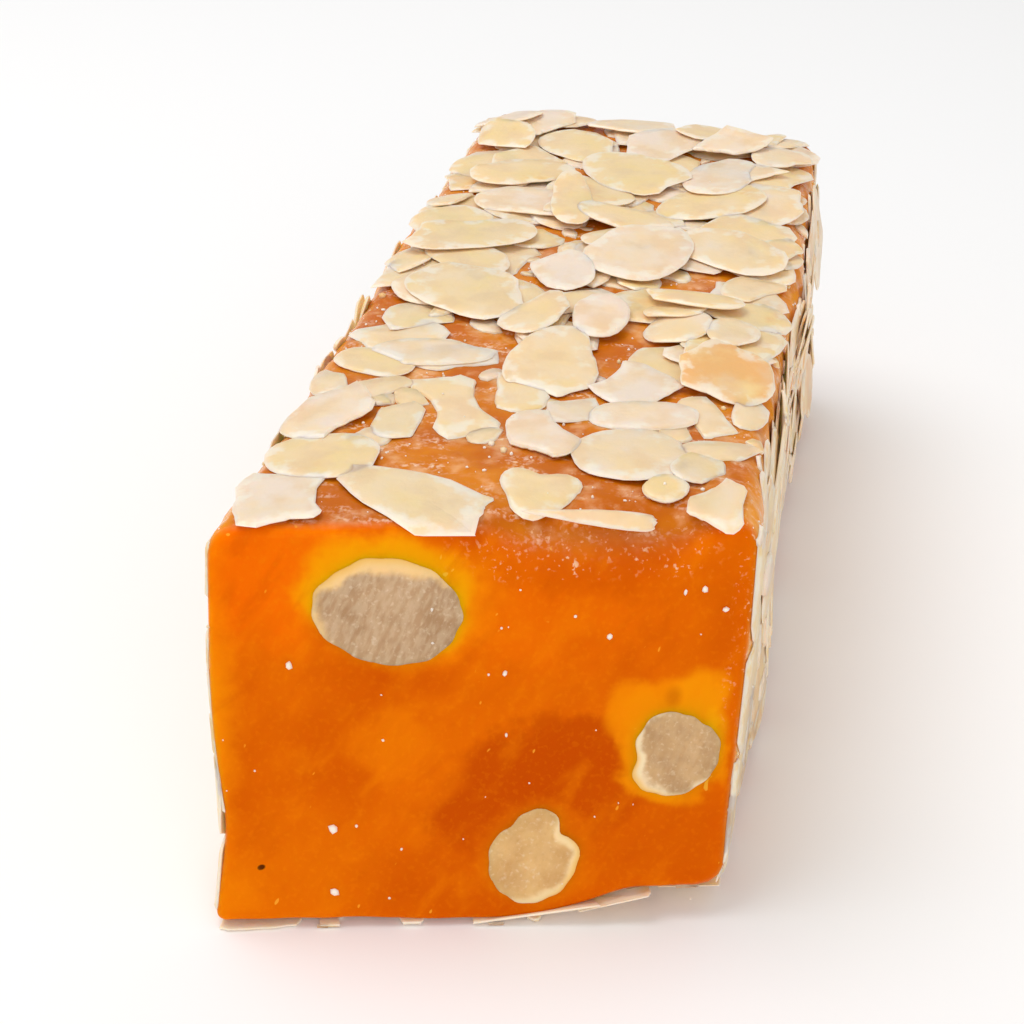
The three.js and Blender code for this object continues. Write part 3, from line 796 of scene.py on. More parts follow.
def make_nut(name, nut):
    kernel = drawn_out_disc(name + "_kernel")
    mesh = kernel.data
    bpy.ops.mesh.select_all(action="SELECT")
    bpy.ops.mesh.normals_make_consistent(inside=False)
    select_faces(mesh, lambda face: face.center.y < AT_CUT)
    for inset in NUT_INSETS:
        bpy.ops.mesh.inset(thickness=inset)
    bpy.ops.object.mode_set(mode="OBJECT")
    unit_u, share, unit_v = vertex_array(mesh).T
    across, up = nut_shape(nut, unit_u, unit_v, share, 0)
    along = share * nut["depth"] + cut_plane_along(across, up)
    reach = np.hypot(unit_u, unit_v)
    in_cut = share < AT_CUT
    turns_across, turns_up = NUT_UNEVEN_TURNS
    uneven = np.sin(turns_across * across) * np.cos(turns_up * up + NUT_UNEVEN_SHIFT)
    crown = NUT_PROUD * (1 - reach**4) + NUT_UNEVEN * uneven
    along -= np.where(in_cut & (reach < NUT_CROWN_REACH), crown, 0)
    set_vertices(mesh, metres(np.stack([across, along, up], axis=1)))
    turn = math.radians(nut["turn"])
    shift_across, shift_up = nut["rim_shift"]
    shift_u = (shift_across * math.cos(turn) + shift_up * math.sin(turn)) / (nut["size"][0] / 2)
    shift_v = (shift_up * math.cos(turn) - shift_across * math.sin(turn)) / (nut["size"][1] / 2)
    rim = np.where(in_cut, np.hypot(unit_u - shift_u, unit_v - shift_v), NUT_SIDE_RIM)
    mesh.attributes.new("rim", "FLOAT", "POINT").data.foreach_set("value", rim)
    bpy.ops.object.shade_smooth_by_angle(angle=math.radians(NUT_CREASE))
    finish_piece(kernel, hazelnut_finish(name, nut["streaks"], *nut["shades"]), name)


def bore_pocket(jelly, nut):
    """Cut the room for a kernel out of the jelly."""
    plug = drawn_out_disc("pocket")
    mesh = plug.data
    select_faces(mesh, lambda face: face.center.y < AT_CUT)
    bpy.ops.mesh.extrude_region_move(TRANSFORM_OT_translate={"value": (0, -1, 0)})
    bpy.ops.mesh.select_all(action="SELECT")
    bpy.ops.mesh.normals_make_consistent(inside=False)
    bpy.ops.object.mode_set(mode="OBJECT")
    unit_u, share, unit_v = vertex_array(mesh).T
    across, up = nut_shape(nut, unit_u, unit_v, np.maximum(0, share), POCKET_GAP)
    depth = np.where(share < 0, share * POCKET_FRONT, share * (nut["depth"] + POCKET_GAP))
    set_vertices(mesh, metres(np.stack([across, depth + cut_plane_along(across, up), up], axis=1)))
    deselect_all()
    jelly.select_set(True)
    bpy.context.view_layer.objects.active = jelly
    bore = jelly.modifiers.new("pocket", "BOOLEAN")
    bore.object = plug
    bore.operation = "DIFFERENCE"
    bore.solver = "EXACT"
    bpy.ops.object.modifier_apply(modifier=bore.name)
    bpy.data.objects.remove(plug)


# Jelly


def top_edge_drop(across, up, along):
    """How far the knife has dragged the top edge down."""
    start, full, fade, end = TOP_EDGE_BARE
    bare = smooth_step(across, start, full) * (1 - smooth_step(across, fade, end))
    level = smooth_step(up, jelly_top - TOP_EDGE_DEPTH, jelly_top)
    return TOP_EDGE_DROP * bare * level * np.maximum(0, 1 - along / TOP_EDGE_RUN) ** 2


def base_raise(across, along):
    """How far the underside is raised on the right next to the cut."""
    fading = np.maximum(0, 1 - along / BASE_EDGE_RUN) ** 2
    return BASE_EDGE_RAISE * smooth_step(across, *BASE_EDGE_RAISED) * fading


def base_sag(across, up, along):
    """How far the soft jelly has sunk between the flakes under it, and at the cut's lower edge."""
    start, full, fade, end = BASE_EDGE_SOFT
    soft = smooth_step(across, start, full) * (1 - smooth_step(across, fade, end))
    at_cut = BASE_EDGE_SAG * soft * np.maximum(0, 1 - along / BASE_EDGE_RUN) ** 2
    level = 1 - smooth_step(up, jelly_bottom, jelly_bottom + BASE_EDGE_DEPTH)
    return level * (np.maximum(at_cut, BASE_SETTLING) - base_raise(across, along))


def waved(across, up, along):
    """Places moved by the waves in the walls and the top, and by the dent in the left wall."""
    side = across / half_width
    level = (up - jelly_middle) / half_height
    turns = 2 * math.pi * along
    wave = np.sin(turns / LONG_WAVE + WAVE_LEAN * level)
    wave = wave + SHORT_WAVE_SHARE * np.sin(turns / SHORT_WAVE + SHORT_WAVE_SHIFT)
    dent = LEFT_DENT * np.exp(-(((up - LEFT_DENT_UP) / LEFT_DENT_SPREAD) ** 2))
    dent = dent * smooth_step(-side, LEFT_DENT_FROM, 1)
    swell = TOP_WAVE * np.sin(turns / TOP_WAVE_LENGTH + TOP_WAVE_LEAN * side)
    swell = swell * smooth_step(level, TOP_WAVE_FROM, 1)
    return across + WALL_WAVE * wave * side + dent, up + swell


def round_corners(mesh):
    """Round the four lengthwise edges, each by its own radius, from the lower right one round."""
    sides = [(1, -1), (1, 1), (-1, 1), (-1, -1)]
    for (side, level), radius in zip(sides, CORNER_RADII):
        corner = (side * half_width, jelly_middle + level * half_height)

        def on_corner(start, end):
            return all(math.dist((at.x, at.z), corner) < EDGE_TOLERANCE for at in (start, end))

        select_edges(mesh, on_corner)
        bpy.ops.mesh.bevel(offset=radius, segments=CORNER_SEGMENTS, affect="EDGES")


def draw_out_end(mesh, direction, steps):
    """Draw the end face of the block out step by step, each step with its place and its inset."""
    select_faces(mesh, lambda face: face.normal.y * direction > FACING_END)
    reached, narrowed = steps[0]
    for along, inset in steps[1:]:
        move = {"value": (0, along - reached, 0)}
        bpy.ops.mesh.extrude_region_move(TRANSFORM_OT_translate=move)
        wide = (half_width - inset) / (half_width - narrowed)
        high = (half_height - inset) / (half_height - narrowed)
        bpy.ops.transform.resize(value=(wide, 1, high), center_override=(0, along, jelly_middle))
        reached, narrowed = along, inset


def slice_through(normal, low, high, pitch):
    """Cut evenly spaced edges through the block, so that its faces can bend."""
    count = round((high - low) / pitch)
    for step in range(1, count):
        at = blend(low, high, step / count)
        bpy.ops.mesh.select_all(action="SELECT")
        bpy.ops.mesh.bisect(plane_co=tuple(at * part for part in normal), plane_no=normal)


def far_end_steps():
    body_end = LENGTH - FAR_ROUNDING
    angles = [math.pi / 2 * step / (FAR_STEPS + FAR_BLUNTNESS) for step in range(FAR_STEPS + 1)]
    return [
        (body_end + FAR_ROUNDING * math.sin(angle), FAR_NARROWING * (1 - math.cos(angle)))
        for angle in angles
    ]


def make_block(name):
    """A straight block in millimetres, with rounded edges and drawn-out ends, sliced for bending."""
    body_start = CUT_EDGE[-1][0]
    body_end = LENGTH - FAR_ROUNDING
    deselect_all()
    bpy.ops.mesh.primitive_cube_add(size=1, location=(0, (body_start + body_end) / 2, jelly_middle))
    block = bpy.context.object
    block.name = name
    block.scale = (WIDTH, body_end - body_start, JELLY_HEIGHT)
    bpy.ops.object.transform_apply(location=True, rotation=True, scale=True)
    mesh = block.data
    bpy.ops.object.mode_set(mode="EDIT")
    bpy.ops.mesh.select_mode(type="EDGE")
    round_corners(mesh)
    bpy.ops.mesh.select_mode(type="FACE")
    draw_out_end(mesh, -1, CUT_EDGE[::-1])
    draw_out_end(mesh, 1, far_end_steps())
    slice_through((1, 0, 0), -half_width, half_width, SLICE_ACROSS)
    slice_through((0, 0, 1), jelly_bottom, jelly_top, SLICE_ACROSS)
    slice_through((0, 1, 0), body_start, body_end, SLICE_ALONG)
    bpy.ops.object.mode_set(mode="OBJECT")
    return block


def bend_block(mesh):
    """Bring the block to its slants, waves and sagging edges, at its place and size."""
    across, along, up = vertex_array(mesh).T
    share = np.clip(along / LENGTH, 0, 1)
    lowered = top_edge_drop(across, up, along) + base_sag(across, up, along)
    x, z = waved(across, up - lowered, along)
    slant_across = blend(CUT_SLANT_ACROSS, FAR_SLANT_ACROSS, share)
    y = along + slant_across * x + blend(CUT_SLANT_UP, 0, share) * (z - jelly_middle)
    set_vertices(mesh, metres(np.stack([x, y, z], axis=1)))


def roughen_skin(mesh):
    """Small hollows in the jelly's skin, and a much flatter waviness where the knife went."""
    points = vertex_array(mesh)
    normals = np.empty(len(points) * 3)
    mesh.vertices.foreach_get("normal", normals)
    places = points / MM + FRAME_ORIGIN
    first, second, third = (np.sin(places @ np.array(turns)) for turns in SKIN_RIPPLES)
    ripple = first * second + third
    across, along, up = places.T
    depth = along - cut_plane_along(across, up)
    amount = SKIN_RELIEF * blend(CUT_RELIEF_SHARE, 1, smooth_step(depth, *CUT_RELIEF_RUN))
    set_vertices(mesh, points + normals.reshape(-1, 3) * (amount * ripple * MM)[:, None])


def make_jelly():
    jelly = make_block("jelly")
    mesh = jelly.data
    bend_block(mesh)
    smooth = jelly.modifiers.new("smooth", "SUBSURF")
    smooth.levels = smooth.render_levels = 1
    bpy.ops.object.modifier_apply(modifier=smooth.name)
    roughen_skin(mesh)
    for nut in NUTS.values():
        bore_pocket(jelly, nut)
    bpy.ops.object.shade_smooth_by_angle(angle=math.radians(JELLY_CREASE))
    finish_piece(jelly, jelly_finish(), "jelly_bar")
    return jelly


# Coated faces of the bar


def coated_faces():
    start = cut_plane_along(-half_width, jelly_bottom)
    end = LENGTH - FAR_BARE_RIM
    middle = (start + end) / 2
    run = (end - start) / 2
    right, along, up = np.eye(3)

    def face(at, u, v, out, reach):
        return {"at": np.array(at), "u": u, "v": v, "out": out, "reach": reach}

    far_reach = (half_height - FAR_BARE_RIM, half_width - FAR_BARE_RIM)
    slanted = right + FAR_SLANT_ACROSS * along
    return {
        "top": face((0, middle, jelly_top), right, along, up, (half_width, run)),
        "right": face((half_width, middle, jelly_middle), along, up, right, (run, half_height)),
        "left": face((-half_width, middle, jelly_middle), up, along, -right, (half_height, run)),
        "base": face((0, middle, jelly_bottom), along, right, -up, (run, half_width)),
        "far": face((0, LENGTH, jelly_middle), up, slanted, along, far_reach),
    }


def face_points(face, u, v, height):
    u, v, height = np.broadcast_arrays(u, v, height)
    in_face = face["at"] + u[..., None] * face["u"] + v[..., None] * face["v"]
    return in_face + height[..., None] * face["out"]


def depths_behind_cut(face, u, v):
    across, along, up = np.moveaxis(face_points(face, u, v, 0.0), -1, 0)
    return along - cut_plane_along(across, up)


class Coating:
    """How high the jelly and what is laid on it stand over one face, in small square cells."""

    START = 6.0

    def __init__(self, face, surface):
        self.face = face
        spans = [2 * reach + COATING_MARGIN for reach in face["reach"]]
        self.low = [-span / 2 for span in spans]
        self.counts = [int(span / HEIGHT_CELL) for span in spans]
        lines = [low + (np.arange(n) + 0.5) * HEIGHT_CELL for low, n in zip(self.low, self.counts)]
        self.u, self.v = np.meshgrid(*lines, indexing="ij")
        starts = metres(face_points(face, self.u, self.v, self.START)).reshape(-1, 3)
        down = Vector(-face["out"])
        hits = [surface.ray_cast(Vector(start), down)[3] for start in starts]
        heights = [OUTSIDE if hit is None else self.START - hit / MM for hit in hits]
        self.jelly = np.maximum(np.array(heights).reshape(self.u.shape), OUTSIDE)
        self.height = self.jelly.copy()
        self.behind = depths_behind_cut(face, self.u, self.v) > 0

    def inside(self, outline_u, outline_v):
        """Cells within an outline: each crossing of an edge turns inside to outside."""
        inside = np.zeros(self.u.shape, dtype=bool)
        for au, av, bu, bv in zip(outline_u, outline_v, np.roll(outline_u, 1), np.roll(outline_v, 1)):
            if av != bv:
                crossing = au + (self.v - av) * (bu - au) / (bv - av)
                inside ^= ((av > self.v) != (bv > self.v)) & (self.u < crossing)
        return inside & self.behind & (self.jelly > OUTSIDE)

    def sample(self, heights, u, v):
        """Heights at points, between the cells' middles."""
        column = np.clip((u - self.low[0]) / HEIGHT_CELL - 0.5, 0, self.counts[0] - 1.001)
        row = np.clip((v - self.low[1]) / HEIGHT_CELL - 0.5, 0, self.counts[1] - 1.001)
        i, j = column.astype(int), row.astype(int)
        s, t = column - i, row - j
        near = blend(heights[i, j], heights[i + 1, j], s)
        return blend(near, blend(heights[i, j + 1], heights[i + 1, j + 1], s), t)

    def clearance(self, heights, cells, middle, slopes):
        """How high a plane with these slopes must lie to be clear of these heights."""
        u = self.u[cells] - middle[0]
        v = self.v[cells] - middle[1]
        return (heights[cells] - slopes[0] * u - slopes[1] * v).max()

    def rest_plane(self, cells, middle):
        """The plane that a plate lies in on what is already there: its height and two slopes."""
        u = self.u[cells] - middle[0]
        v = self.v[cells] - middle[1]
        heights = self.height[cells]
        terms = np.stack([np.ones_like(u), u, v], axis=1)
        slopes = np.linalg.lstsq(terms, heights, rcond=None)[0][1:]
        slopes = np.clip(slopes, -STEEPEST_FLAKE, STEEPEST_FLAKE)
        standing = heights - slopes[0] * u - slopes[1] * v
        return np.percentile(standing, FLAKE_TOUCH) - FLAKE_SINK, slopes


# Almond flakes


def draw_breaks(draw, width):
    """Straight edges where a flake has broken, each with its direction and its distance."""
    breaks = []
    for _ in range(BREAKS):
        direction = 2 * math.pi * draw()
        breaks.append((direction, width / 2 * blend(*BREAK_REACH, draw())))
    return breaks


def draw_flake(draw, u, v, length, width):
    turn = 2 * math.pi * draw()
    taper = blend(*FLAKE_TAPER, draw())
    return {
        "u": u, "v": v, "length": length, "width": width, "turn": turn, "taper": taper,
        "square": 2, "breaks": draw_breaks(draw, width),
    }


def skip_lie(draw):
    """Passes the draws that set how a flake of the solid lies, as the flakes here are laid anew."""
    for _ in range(4):
        draw()


def flake_outline(flake, count):
    """An oval, squarer for some, with one narrower end and broken straight edges, in its face."""

    def squared(value):
        return np.sign(value) * np.abs(value) ** (2 / flake["square"])

    angle = 2 * math.pi * (np.arange(count) + 0.5) / count
    lengthwise = squared(np.cos(angle))
    u = flake["length"] / 2 * lengthwise
    v = flake["width"] / 2 * squared(np.sin(angle)) * (1 - flake["taper"] * lengthwise)
    notch = flake.get("notch", 0) * np.exp(-((np.abs(angle - math.pi) / NOTCH_SPREAD) ** 2))
    u, v = u * (1 - notch), v * (1 - notch)
    for direction, reach in flake["breaks"]:
        over = np.maximum(0, u * math.cos(direction) + v * math.sin(direction) - reach)
        u = u - over * math.cos(direction)
        v = v - over * math.sin(direction)
    cos, sin = math.cos(flake["turn"]), math.sin(flake["turn"])
    return flake["u"] + u * cos - v * sin, flake["v"] + u * sin + v * cos


def scatter_flakes(draw, name, face):
    columns = int((2 * face["reach"][0] - FAR_BARE_RIM) // FLAKE_PITCH)
    rows = int((2 * face["reach"][1] - FAR_BARE_RIM) // ROW_PITCH)
    flakes = []
    for row in range(rows + 1):
        shift = ROW_SHIFT if row % 2 else -ROW_SHIFT
        for column in range(columns + 1):
            u = (column - columns / 2 + shift + FLAKE_JITTER * (draw() - 0.5)) * FLAKE_PITCH
            v = (row - rows / 2 + FLAKE_JITTER * (draw() - 0.5)) * ROW_PITCH
            length = blend(FLAKE_SHORTEST, FLAKE_LONGEST, draw() ** FLAKE_SIZE_BIAS)
            width = min(length * blend(*FLAKE_SLIMNESS, draw()), FLAKE_WIDEST)
            flake = draw_flake(draw, u, v, length, width)
            skip_lie(draw)
            bare = name == "far" and draw() > FAR_FLAKES_KEPT
            by_hand = name == "top" and v + face["at"][1] < FRONT_FLAKES_END
            depths = depths_behind_cut(face, *flake_outline(flake, RULE_CORNERS))
            if not bare and not by_hand and depths.max() > FLAKE_LEAST_BEHIND_CUT:
                flakes.append(flake)
    return flakes


def scatter_under_flakes(wander, name, face):
    """Smaller flakes below the others, evenly spread with much jitter."""
    pitch = UNDER_PITCH[name]
    columns, rows = (int(2 * reach / pitch) for reach in face["reach"])
    flakes = []
    for row in range(rows + 1):
        for column in range(columns + 1):
            u = (column - columns / 2 + UNDER_JITTER * (wander() - 0.5)) * pitch
            v = (row - rows / 2 + UNDER_JITTER * (wander() - 0.5)) * pitch
            length = blend(UNDER_SHORTEST, UNDER_LONGEST, wander() ** UNDER_SIZE_BIAS)
            flake = draw_flake(wander, u, v, length, length * blend(*UNDER_SLIMNESS, wander()))
            if name == "top":
                free = v + face["at"][1] > UNDER_TOP_START
            else:
                free = depths_behind_cut(face, u, v) > UNDER_WALL_START
            if free:
                flakes.append(flake)
    return flakes


def given_flake(given, face):
    across, along, length, width, turn, taper, square, tone = given
    return {
        "u": across, "v": along - face["at"][1], "length": length, "width": width,
        "turn": math.radians(turn), "taper": taper, "square": square, "breaks": [], "tone": tone,
    }


def plan_flakes(faces):
    """The bar's flakes face by face, by the same rule and draws as its solid has them."""
    draw = seeded_draw(FLAKE_SEED)
    planned = {name: [] for name in faces}
    for given in FRONT_FLAKES:
        skip_lie(draw)
        planned["top"].append(given_flake(given, faces["top"]))
    for number, chips in FRONT_CHIPS.items():
        planned["top"][number]["chips"] = chips
    planned["top"][HEART_FLAKE]["notch"] = HEART_NOTCH
    for name, face in faces.items():
        planned[name] += scatter_flakes(draw, name, face)
    return planned


def moved_within(values, low, high):
    """Move a flake back from the edges of its face, and cut off what still reaches over them."""
    short_of_low = min(FLAKE_MOVE, max(0, low - values.min()))
    past_high = min(FLAKE_MOVE, max(0, values.max() - high))
    return np.clip(values + (short_of_low - past_high), low, high)


def trim_outline(face, u, v, wander):
    """Keep an outline within the face's edges and the cut, with a little overhang on the top."""
    limit_u, limit_v = (reach + blend(*EDGE_PLAY, wander()) for reach in face["reach"])
    rim = blend(*WALL_BARE_RIM, wander())
    u = moved_within(u, -limit_u, limit_u - rim * face["u"][2])
    v = moved_within(v, -limit_v, limit_v - rim * face["v"][2])
    least = WALL_FLAKES_BACK
    if face["out"][2] > 0:
        least = -OVERHANG * wander()
    elif face["out"][2] < 0:
        v = np.clip(v, -limit_v + BASE_FLAKES_IN, limit_v - BASE_FLAKES_IN)
        shows = any(start < v.mean() < end for start, end in BASE_FLAKES_SHOWN)
        least = -BASE_FLAKES_AHEAD * wander() if shows else BASE_FLAKES_BACK
    ahead = np.maximum(0, least - depths_behind_cut(face, u, v))
    level = depths_behind_cut(face, 0.0, 0.0)
    rise_u = depths_behind_cut(face, 1.0, 0.0) - level
    rise_v = depths_behind_cut(face, 0.0, 1.0) - level
    back = ahead / max(rise_u**2 + rise_v**2, 0.01)
    return u + back * rise_u, v + back * rise_v


def break_side(u, v, direction, depth, hollow, wander):
    """Break one side off an outline round its middle, straight or hollow, with a torn edge."""
    cos, sin = math.cos(direction), math.sin(direction)
    ahead = u * cos + v * sin
    aside = v * cos - u * sin
    reach = ahead.max()
    deepest_at = CHIP_ASIDE * reach * (wander() - 0.5)
    limit = reach * (1 - 2 * depth) + hollow * (aside - deepest_at) ** 2
    tear = CHIP_TEAR * reach * np.array([wander() - 0.5 for _ in u])
    over = np.where(ahead > limit, ahead - limit + tear, 0)
    return u - over * cos, v - over * sin


def chipped(flake, kind, wander):
    """A flake's outline with the broken sides and the torn edge of a sliced nut."""
    u, v = flake_outline(flake, OUTLINE_POINTS)
    middle = (u.mean(), v.mean())
    u, v = u - middle[0], v - middle[1]
    count, deepest = CHIPS[kind]
    given = flake.get("chips", [])
    chips = [(math.radians(direction), depth, hollow) for direction, depth, hollow in given]
    for _ in range(count):
        hollow = CHIP_HOLLOW * max(0, wander() - CHIP_STRAIGHT)
        chips.append((2 * math.pi * wander(), deepest * wander() ** CHIP_DEPTH_BIAS / 2, hollow))
    for direction, depth, hollow in chips:
        u, v = break_side(u, v, direction, depth, hollow, wander)
    angle = np.arctan2(v, u)
    rough = 1
    for amount, turns in FLAKE_RIPPLES:
        rough = rough + amount * np.sin(turns * angle + RIPPLE_SHIFT * wander())
    return middle[0] + u * rough, middle[1] + v * rough


def thinned(u, v, count):
    """The corners that shape an outline most."""
    while len(u) > count:
        before_u, before_v = np.roll(u, 1) - u, np.roll(v, 1) - v
        after_u, after_v = np.roll(u, -1) - u, np.roll(v, -1) - v
        drop = np.argmin(np.abs(before_u * after_v - before_v * after_u))
        u, v = np.delete(u, drop), np.delete(v, drop)
    return u, v


class PlateMesh:
    """Collects many small closed plates in one mesh, with a tone and a rim value at each point."""

    def __init__(self):
        self.points = []
        self.faces = []
        self.tone = []
        self.rim = []
        self.smooth = []

    def add(self, face, profile, u, v, height_at, thickness, tone):
        count = len(u)
        middle = (u.mean(), v.mean())
        rings = []
        for reach, level in profile:
            size = count if reach else 1
            ring_u = middle[0] + (u[:size] - middle[0]) * reach
            ring_v = middle[1] + (v[:size] - middle[1]) * reach
            rings.append((len(self.tone), size))
            heights = height_at(ring_u, ring_v) + thickness * level
            self.points.append(face_points(face, ring_u, ring_v, heights))
            self.tone += [tone] * size
            self.rim += [reach if level == 1 else FLAKE_SIDE_RIM] * size
        side = len(rings) - 3
        for band, ((a, a_size), (b, b_size)) in enumerate(zip(rings, rings[1:])):
            for i in range(count):
                j = (i + 1) % count
                corners = [a + i % a_size, b + i % b_size, b + j % b_size, a + j % a_size]
                self.faces.append(list(dict.fromkeys(corners)))
                self.smooth.append(band < side)
        last = rings[-1][0]
        self.faces.append([last + i for i in reversed(range(count))])
        self.smooth.append(False)

    def make(self, name):
        mesh = bpy.data.meshes.new(name)
        mesh.from_pydata(metres(np.concatenate(self.points)).tolist(), [], self.faces)
        mesh.polygons.foreach_set("use_smooth", self.smooth)
        for title, values in (("tone", self.tone), ("rim", self.rim)):
            mesh.attributes.new(title, "FLOAT", "POINT").data.foreach_set("value", values)
        mesh.update()
        piece = bpy.data.objects.new(name, mesh)
        bpy.context.collection.objects.link(piece)
        return piece


def highest_flake(face, middle):
    """Flakes lie in several layers on the top, and in one thin layer on the walls near the cut."""
    if face["out"][2] > 0:
        return HIGHEST_ON_TOP
    thick_layer = smooth_step(depths_behind_cut(face, *middle), *LAYERS_RUN)
    return blend(HIGHEST_AT_CUT, HIGHEST_ON_WALL, float(thick_layer))


def give(gap):
    """How far a flake that lies high over the jelly bends down towards it."""
    return np.clip(FLAKE_GIVE * (gap - FLAKE_GIVE_FROM), 0, FLAKE_GIVE_MOST)


def lay_plate(plates, profile, coating, outline, thickness, tone, wander, looseness):
    """Lay one plate on what is already there, bowed and twisted a little, and bent to the jelly."""
    face = coating.face
    u, v = outline
    cells = coating.inside(u, v)
    if cells.sum() < FLAKE_LEAST_CELLS:
        return
    middle = np.array([u.mean(), v.mean()])
    lift, slopes = coating.rest_plane(cells, middle)
    slopes = slopes + [looseness * FLAKE_TILT * (2 * wander() - 1) for _ in range(2)]
    covering = coating.clearance(coating.height, cells, middle, slopes) + FLAKE_COVER
    jelly = coating.sample(coating.jelly, *middle[:, None])[0]
    covering += give(covering - jelly)
    highest = max(jelly, 0) + highest_flake(face, middle)
    showing = coating.clearance(coating.jelly, cells, middle, slopes) + FLAKE_LEAST_SHOWN
    lift = max(min(max(lift, covering - thickness), highest - thickness), showing - thickness)
    half = max(np.hypot(u - middle[0], v - middle[1]).max(), 1)
    turn = math.pi * wander()
    bow = looseness * blend(*FLAKE_BOW, wander())
    twist = looseness * FLAKE_TWIST * (wander() - 0.5)

    def height_at(at_u, at_v):
        flat = lift + slopes[0] * (at_u - middle[0]) + slopes[1] * (at_v - middle[1])
        jelly_at = coating.sample(coating.jelly, at_u, at_v)
        along = ((at_u - middle[0]) * math.cos(turn) + (at_v - middle[1]) * math.sin(turn)) / half
        aside = ((at_v - middle[1]) * math.cos(turn) - (at_u - middle[0]) * math.sin(turn)) / half
        bent = flat - give(flat - jelly_at) + bow * along**2 + twist * along * aside
        if face["out"][2] == 0 and face["out"][1] == 0:
            free = smooth_step(depths_behind_cut(face, at_u, at_v), *FLUSH_RUN)
            flush = np.maximum(jelly_at, LOWEST_JELLY) + FLUSH_AT_CUT - thickness
            bent = blend(np.minimum(bent, flush), bent, free)
        return np.maximum(bent, jelly_at + FLAKE_LEAST_SHOWN - thickness)

    coating.height[cells] = height_at(coating.u[cells], coating.v[cells]) + thickness
    plates.add(face, profile, u, v, height_at, thickness, tone)


def lay_base_plate(plates, profile, face, outline, thickness, tone, wander):
    """Flakes under the bar are pressed flat between the jelly and what it stands on."""
    rest = BASE_COATING - thickness - BASE_FLAKES_PLAY * wander()

    def height_at(u, v):
        return rest - base_raise(v, np.maximum(0, depths_behind_cut(face, u, v)))

    plates.add(face, profile, *outline, height_at, thickness, tone)


def lay_flake(plates, profile, points, kind, name, coating, flake, wander):
    thickness = blend(FLAKE_THIN, FLAKE_THICK, wander())
    tone = flake.get("tone", blend(*FLAKE_TONES, wander()))
    # Flakes on the walls are painted warmer, a painted bounce of orange light
    if coating.face["out"][2] == 0:
        tone += WALL_BOUNCE_LIGHT_TONE
    kind = "given" if "tone" in flake and kind == "flake" else kind
    outline = thinned(*trim_outline(coating.face, *chipped(flake, kind, wander), wander), points)
    if name == "base":
        lay_base_plate(plates, profile, coating.face, outline, thickness, tone, wander)
    else:
        lay_plate(plates, profile, coating, outline, thickness, tone, wander, 1)


def make_flakes(coatings, planned):
    wander = seeded_draw(LAYING_SEED)
    under = seeded_draw(UNDER_SEED)
    plates = PlateMesh()
    for name, flakes in planned.items():
        coating = coatings[name]
        lower = scatter_under_flakes(under, name, coating.face)
        if name == "top":
            lower += [given_flake(given, coating.face) for given in FRONT_FILLERS]
        for flake in lower:
            lay_flake(plates, BIT_PROFILE, UNDER_POINTS, "under", name, coating, flake, under)
        for flake in sorted(flakes, key=lambda flake: wander()):
            lay_flake(plates, FLAKE_PROFILE, FLAKE_POINTS, "flake", name, coating, flake, wander)
        if name == "top":
            for given in MIDDLE_FLAKES:
                flake = given_flake(given, coating.face)
                lay_flake(plates, FLAKE_PROFILE, FLAKE_POINTS, "middle", name, coating, flake, wander)
    piece = plates.make("almond_flakes")
    finish_piece(piece, almond_finish("almond_flake"), "jelly_bar")


def in_bare_patch(across, along):
    return any(
        ((across - middle) / half) ** 2 + ((along - at) / run) ** 2 < 1
        for middle, at, half, run in BARE_PATCHES
    )


def lay_bits(plates, coatings, tries_by_face, wander):
    for name, tries in tries_by_face.items():
        coating = coatings[name]
        face = coating.face
        for _ in range(tries):
            u, v = ((2 * wander() - 1) * reach for reach in face["reach"])
            length = blend(BIT_SHORTEST, BIT_LONGEST, wander() ** BIT_SIZE_BIAS)
            flake = draw_flake(wander, u, v, length, length * blend(*BIT_SLIMNESS, wander()))
            thickness = blend(BIT_THIN, BIT_THICK, wander())
            outline = thinned(*trim_outline(face, *chipped(flake, "bit", wander), wander), BIT_POINTS)
            along = v + face["at"][1]
            if name == "top" and (along < BITS_START or in_bare_patch(u, along)):
                continue
            if name == "base":
                lay_base_plate(plates, BIT_PROFILE, face, outline, thickness, wander(), wander)
            elif depths_behind_cut(face, u, v) > BIT_BEHIND_CUT:
                lay_plate(plates, BIT_PROFILE, coating, outline, thickness, wander(), wander, BIT_LOOSENESS)


def make_bits(coatings, name, tries_by_face, seed):
    """Broken bits of almond, on the jelly between the flakes or on the flakes themselves."""
    plates = PlateMesh()
    lay_bits(plates, coatings, tries_by_face, seeded_draw(seed))
    finish_piece(plates.make(name), almond_finish(name + "_finish"), "jelly_bar")


# Crumbs and starch


def lump_corners():
    """The twelve corners and twenty faces of a regular lump."""
    golden = (1 + math.sqrt(5)) / 2
    corners = []
    for a in (-1, 1):
        for b in (-golden, golden):
            corners += [(0, a, b), (a, b, 0), (b, 0, a)]
    corners = np.array(corners) / math.hypot(1, golden)
    faces = []
    for i in range(12):
        for j in range(i + 1, 12):
            for k in range(j + 1, 12):
                first, second, third = corners[i], corners[j], corners[k]
                sides = (second - first, third - second, first - third)
                if max(np.linalg.norm(side) for side in sides) < LUMP_LONGEST_SIDE:
                    outward = np.dot(np.cross(second - first, third - first), first) > 0
                    faces.append((i, j, k) if outward else (i, k, j))
    return corners, faces


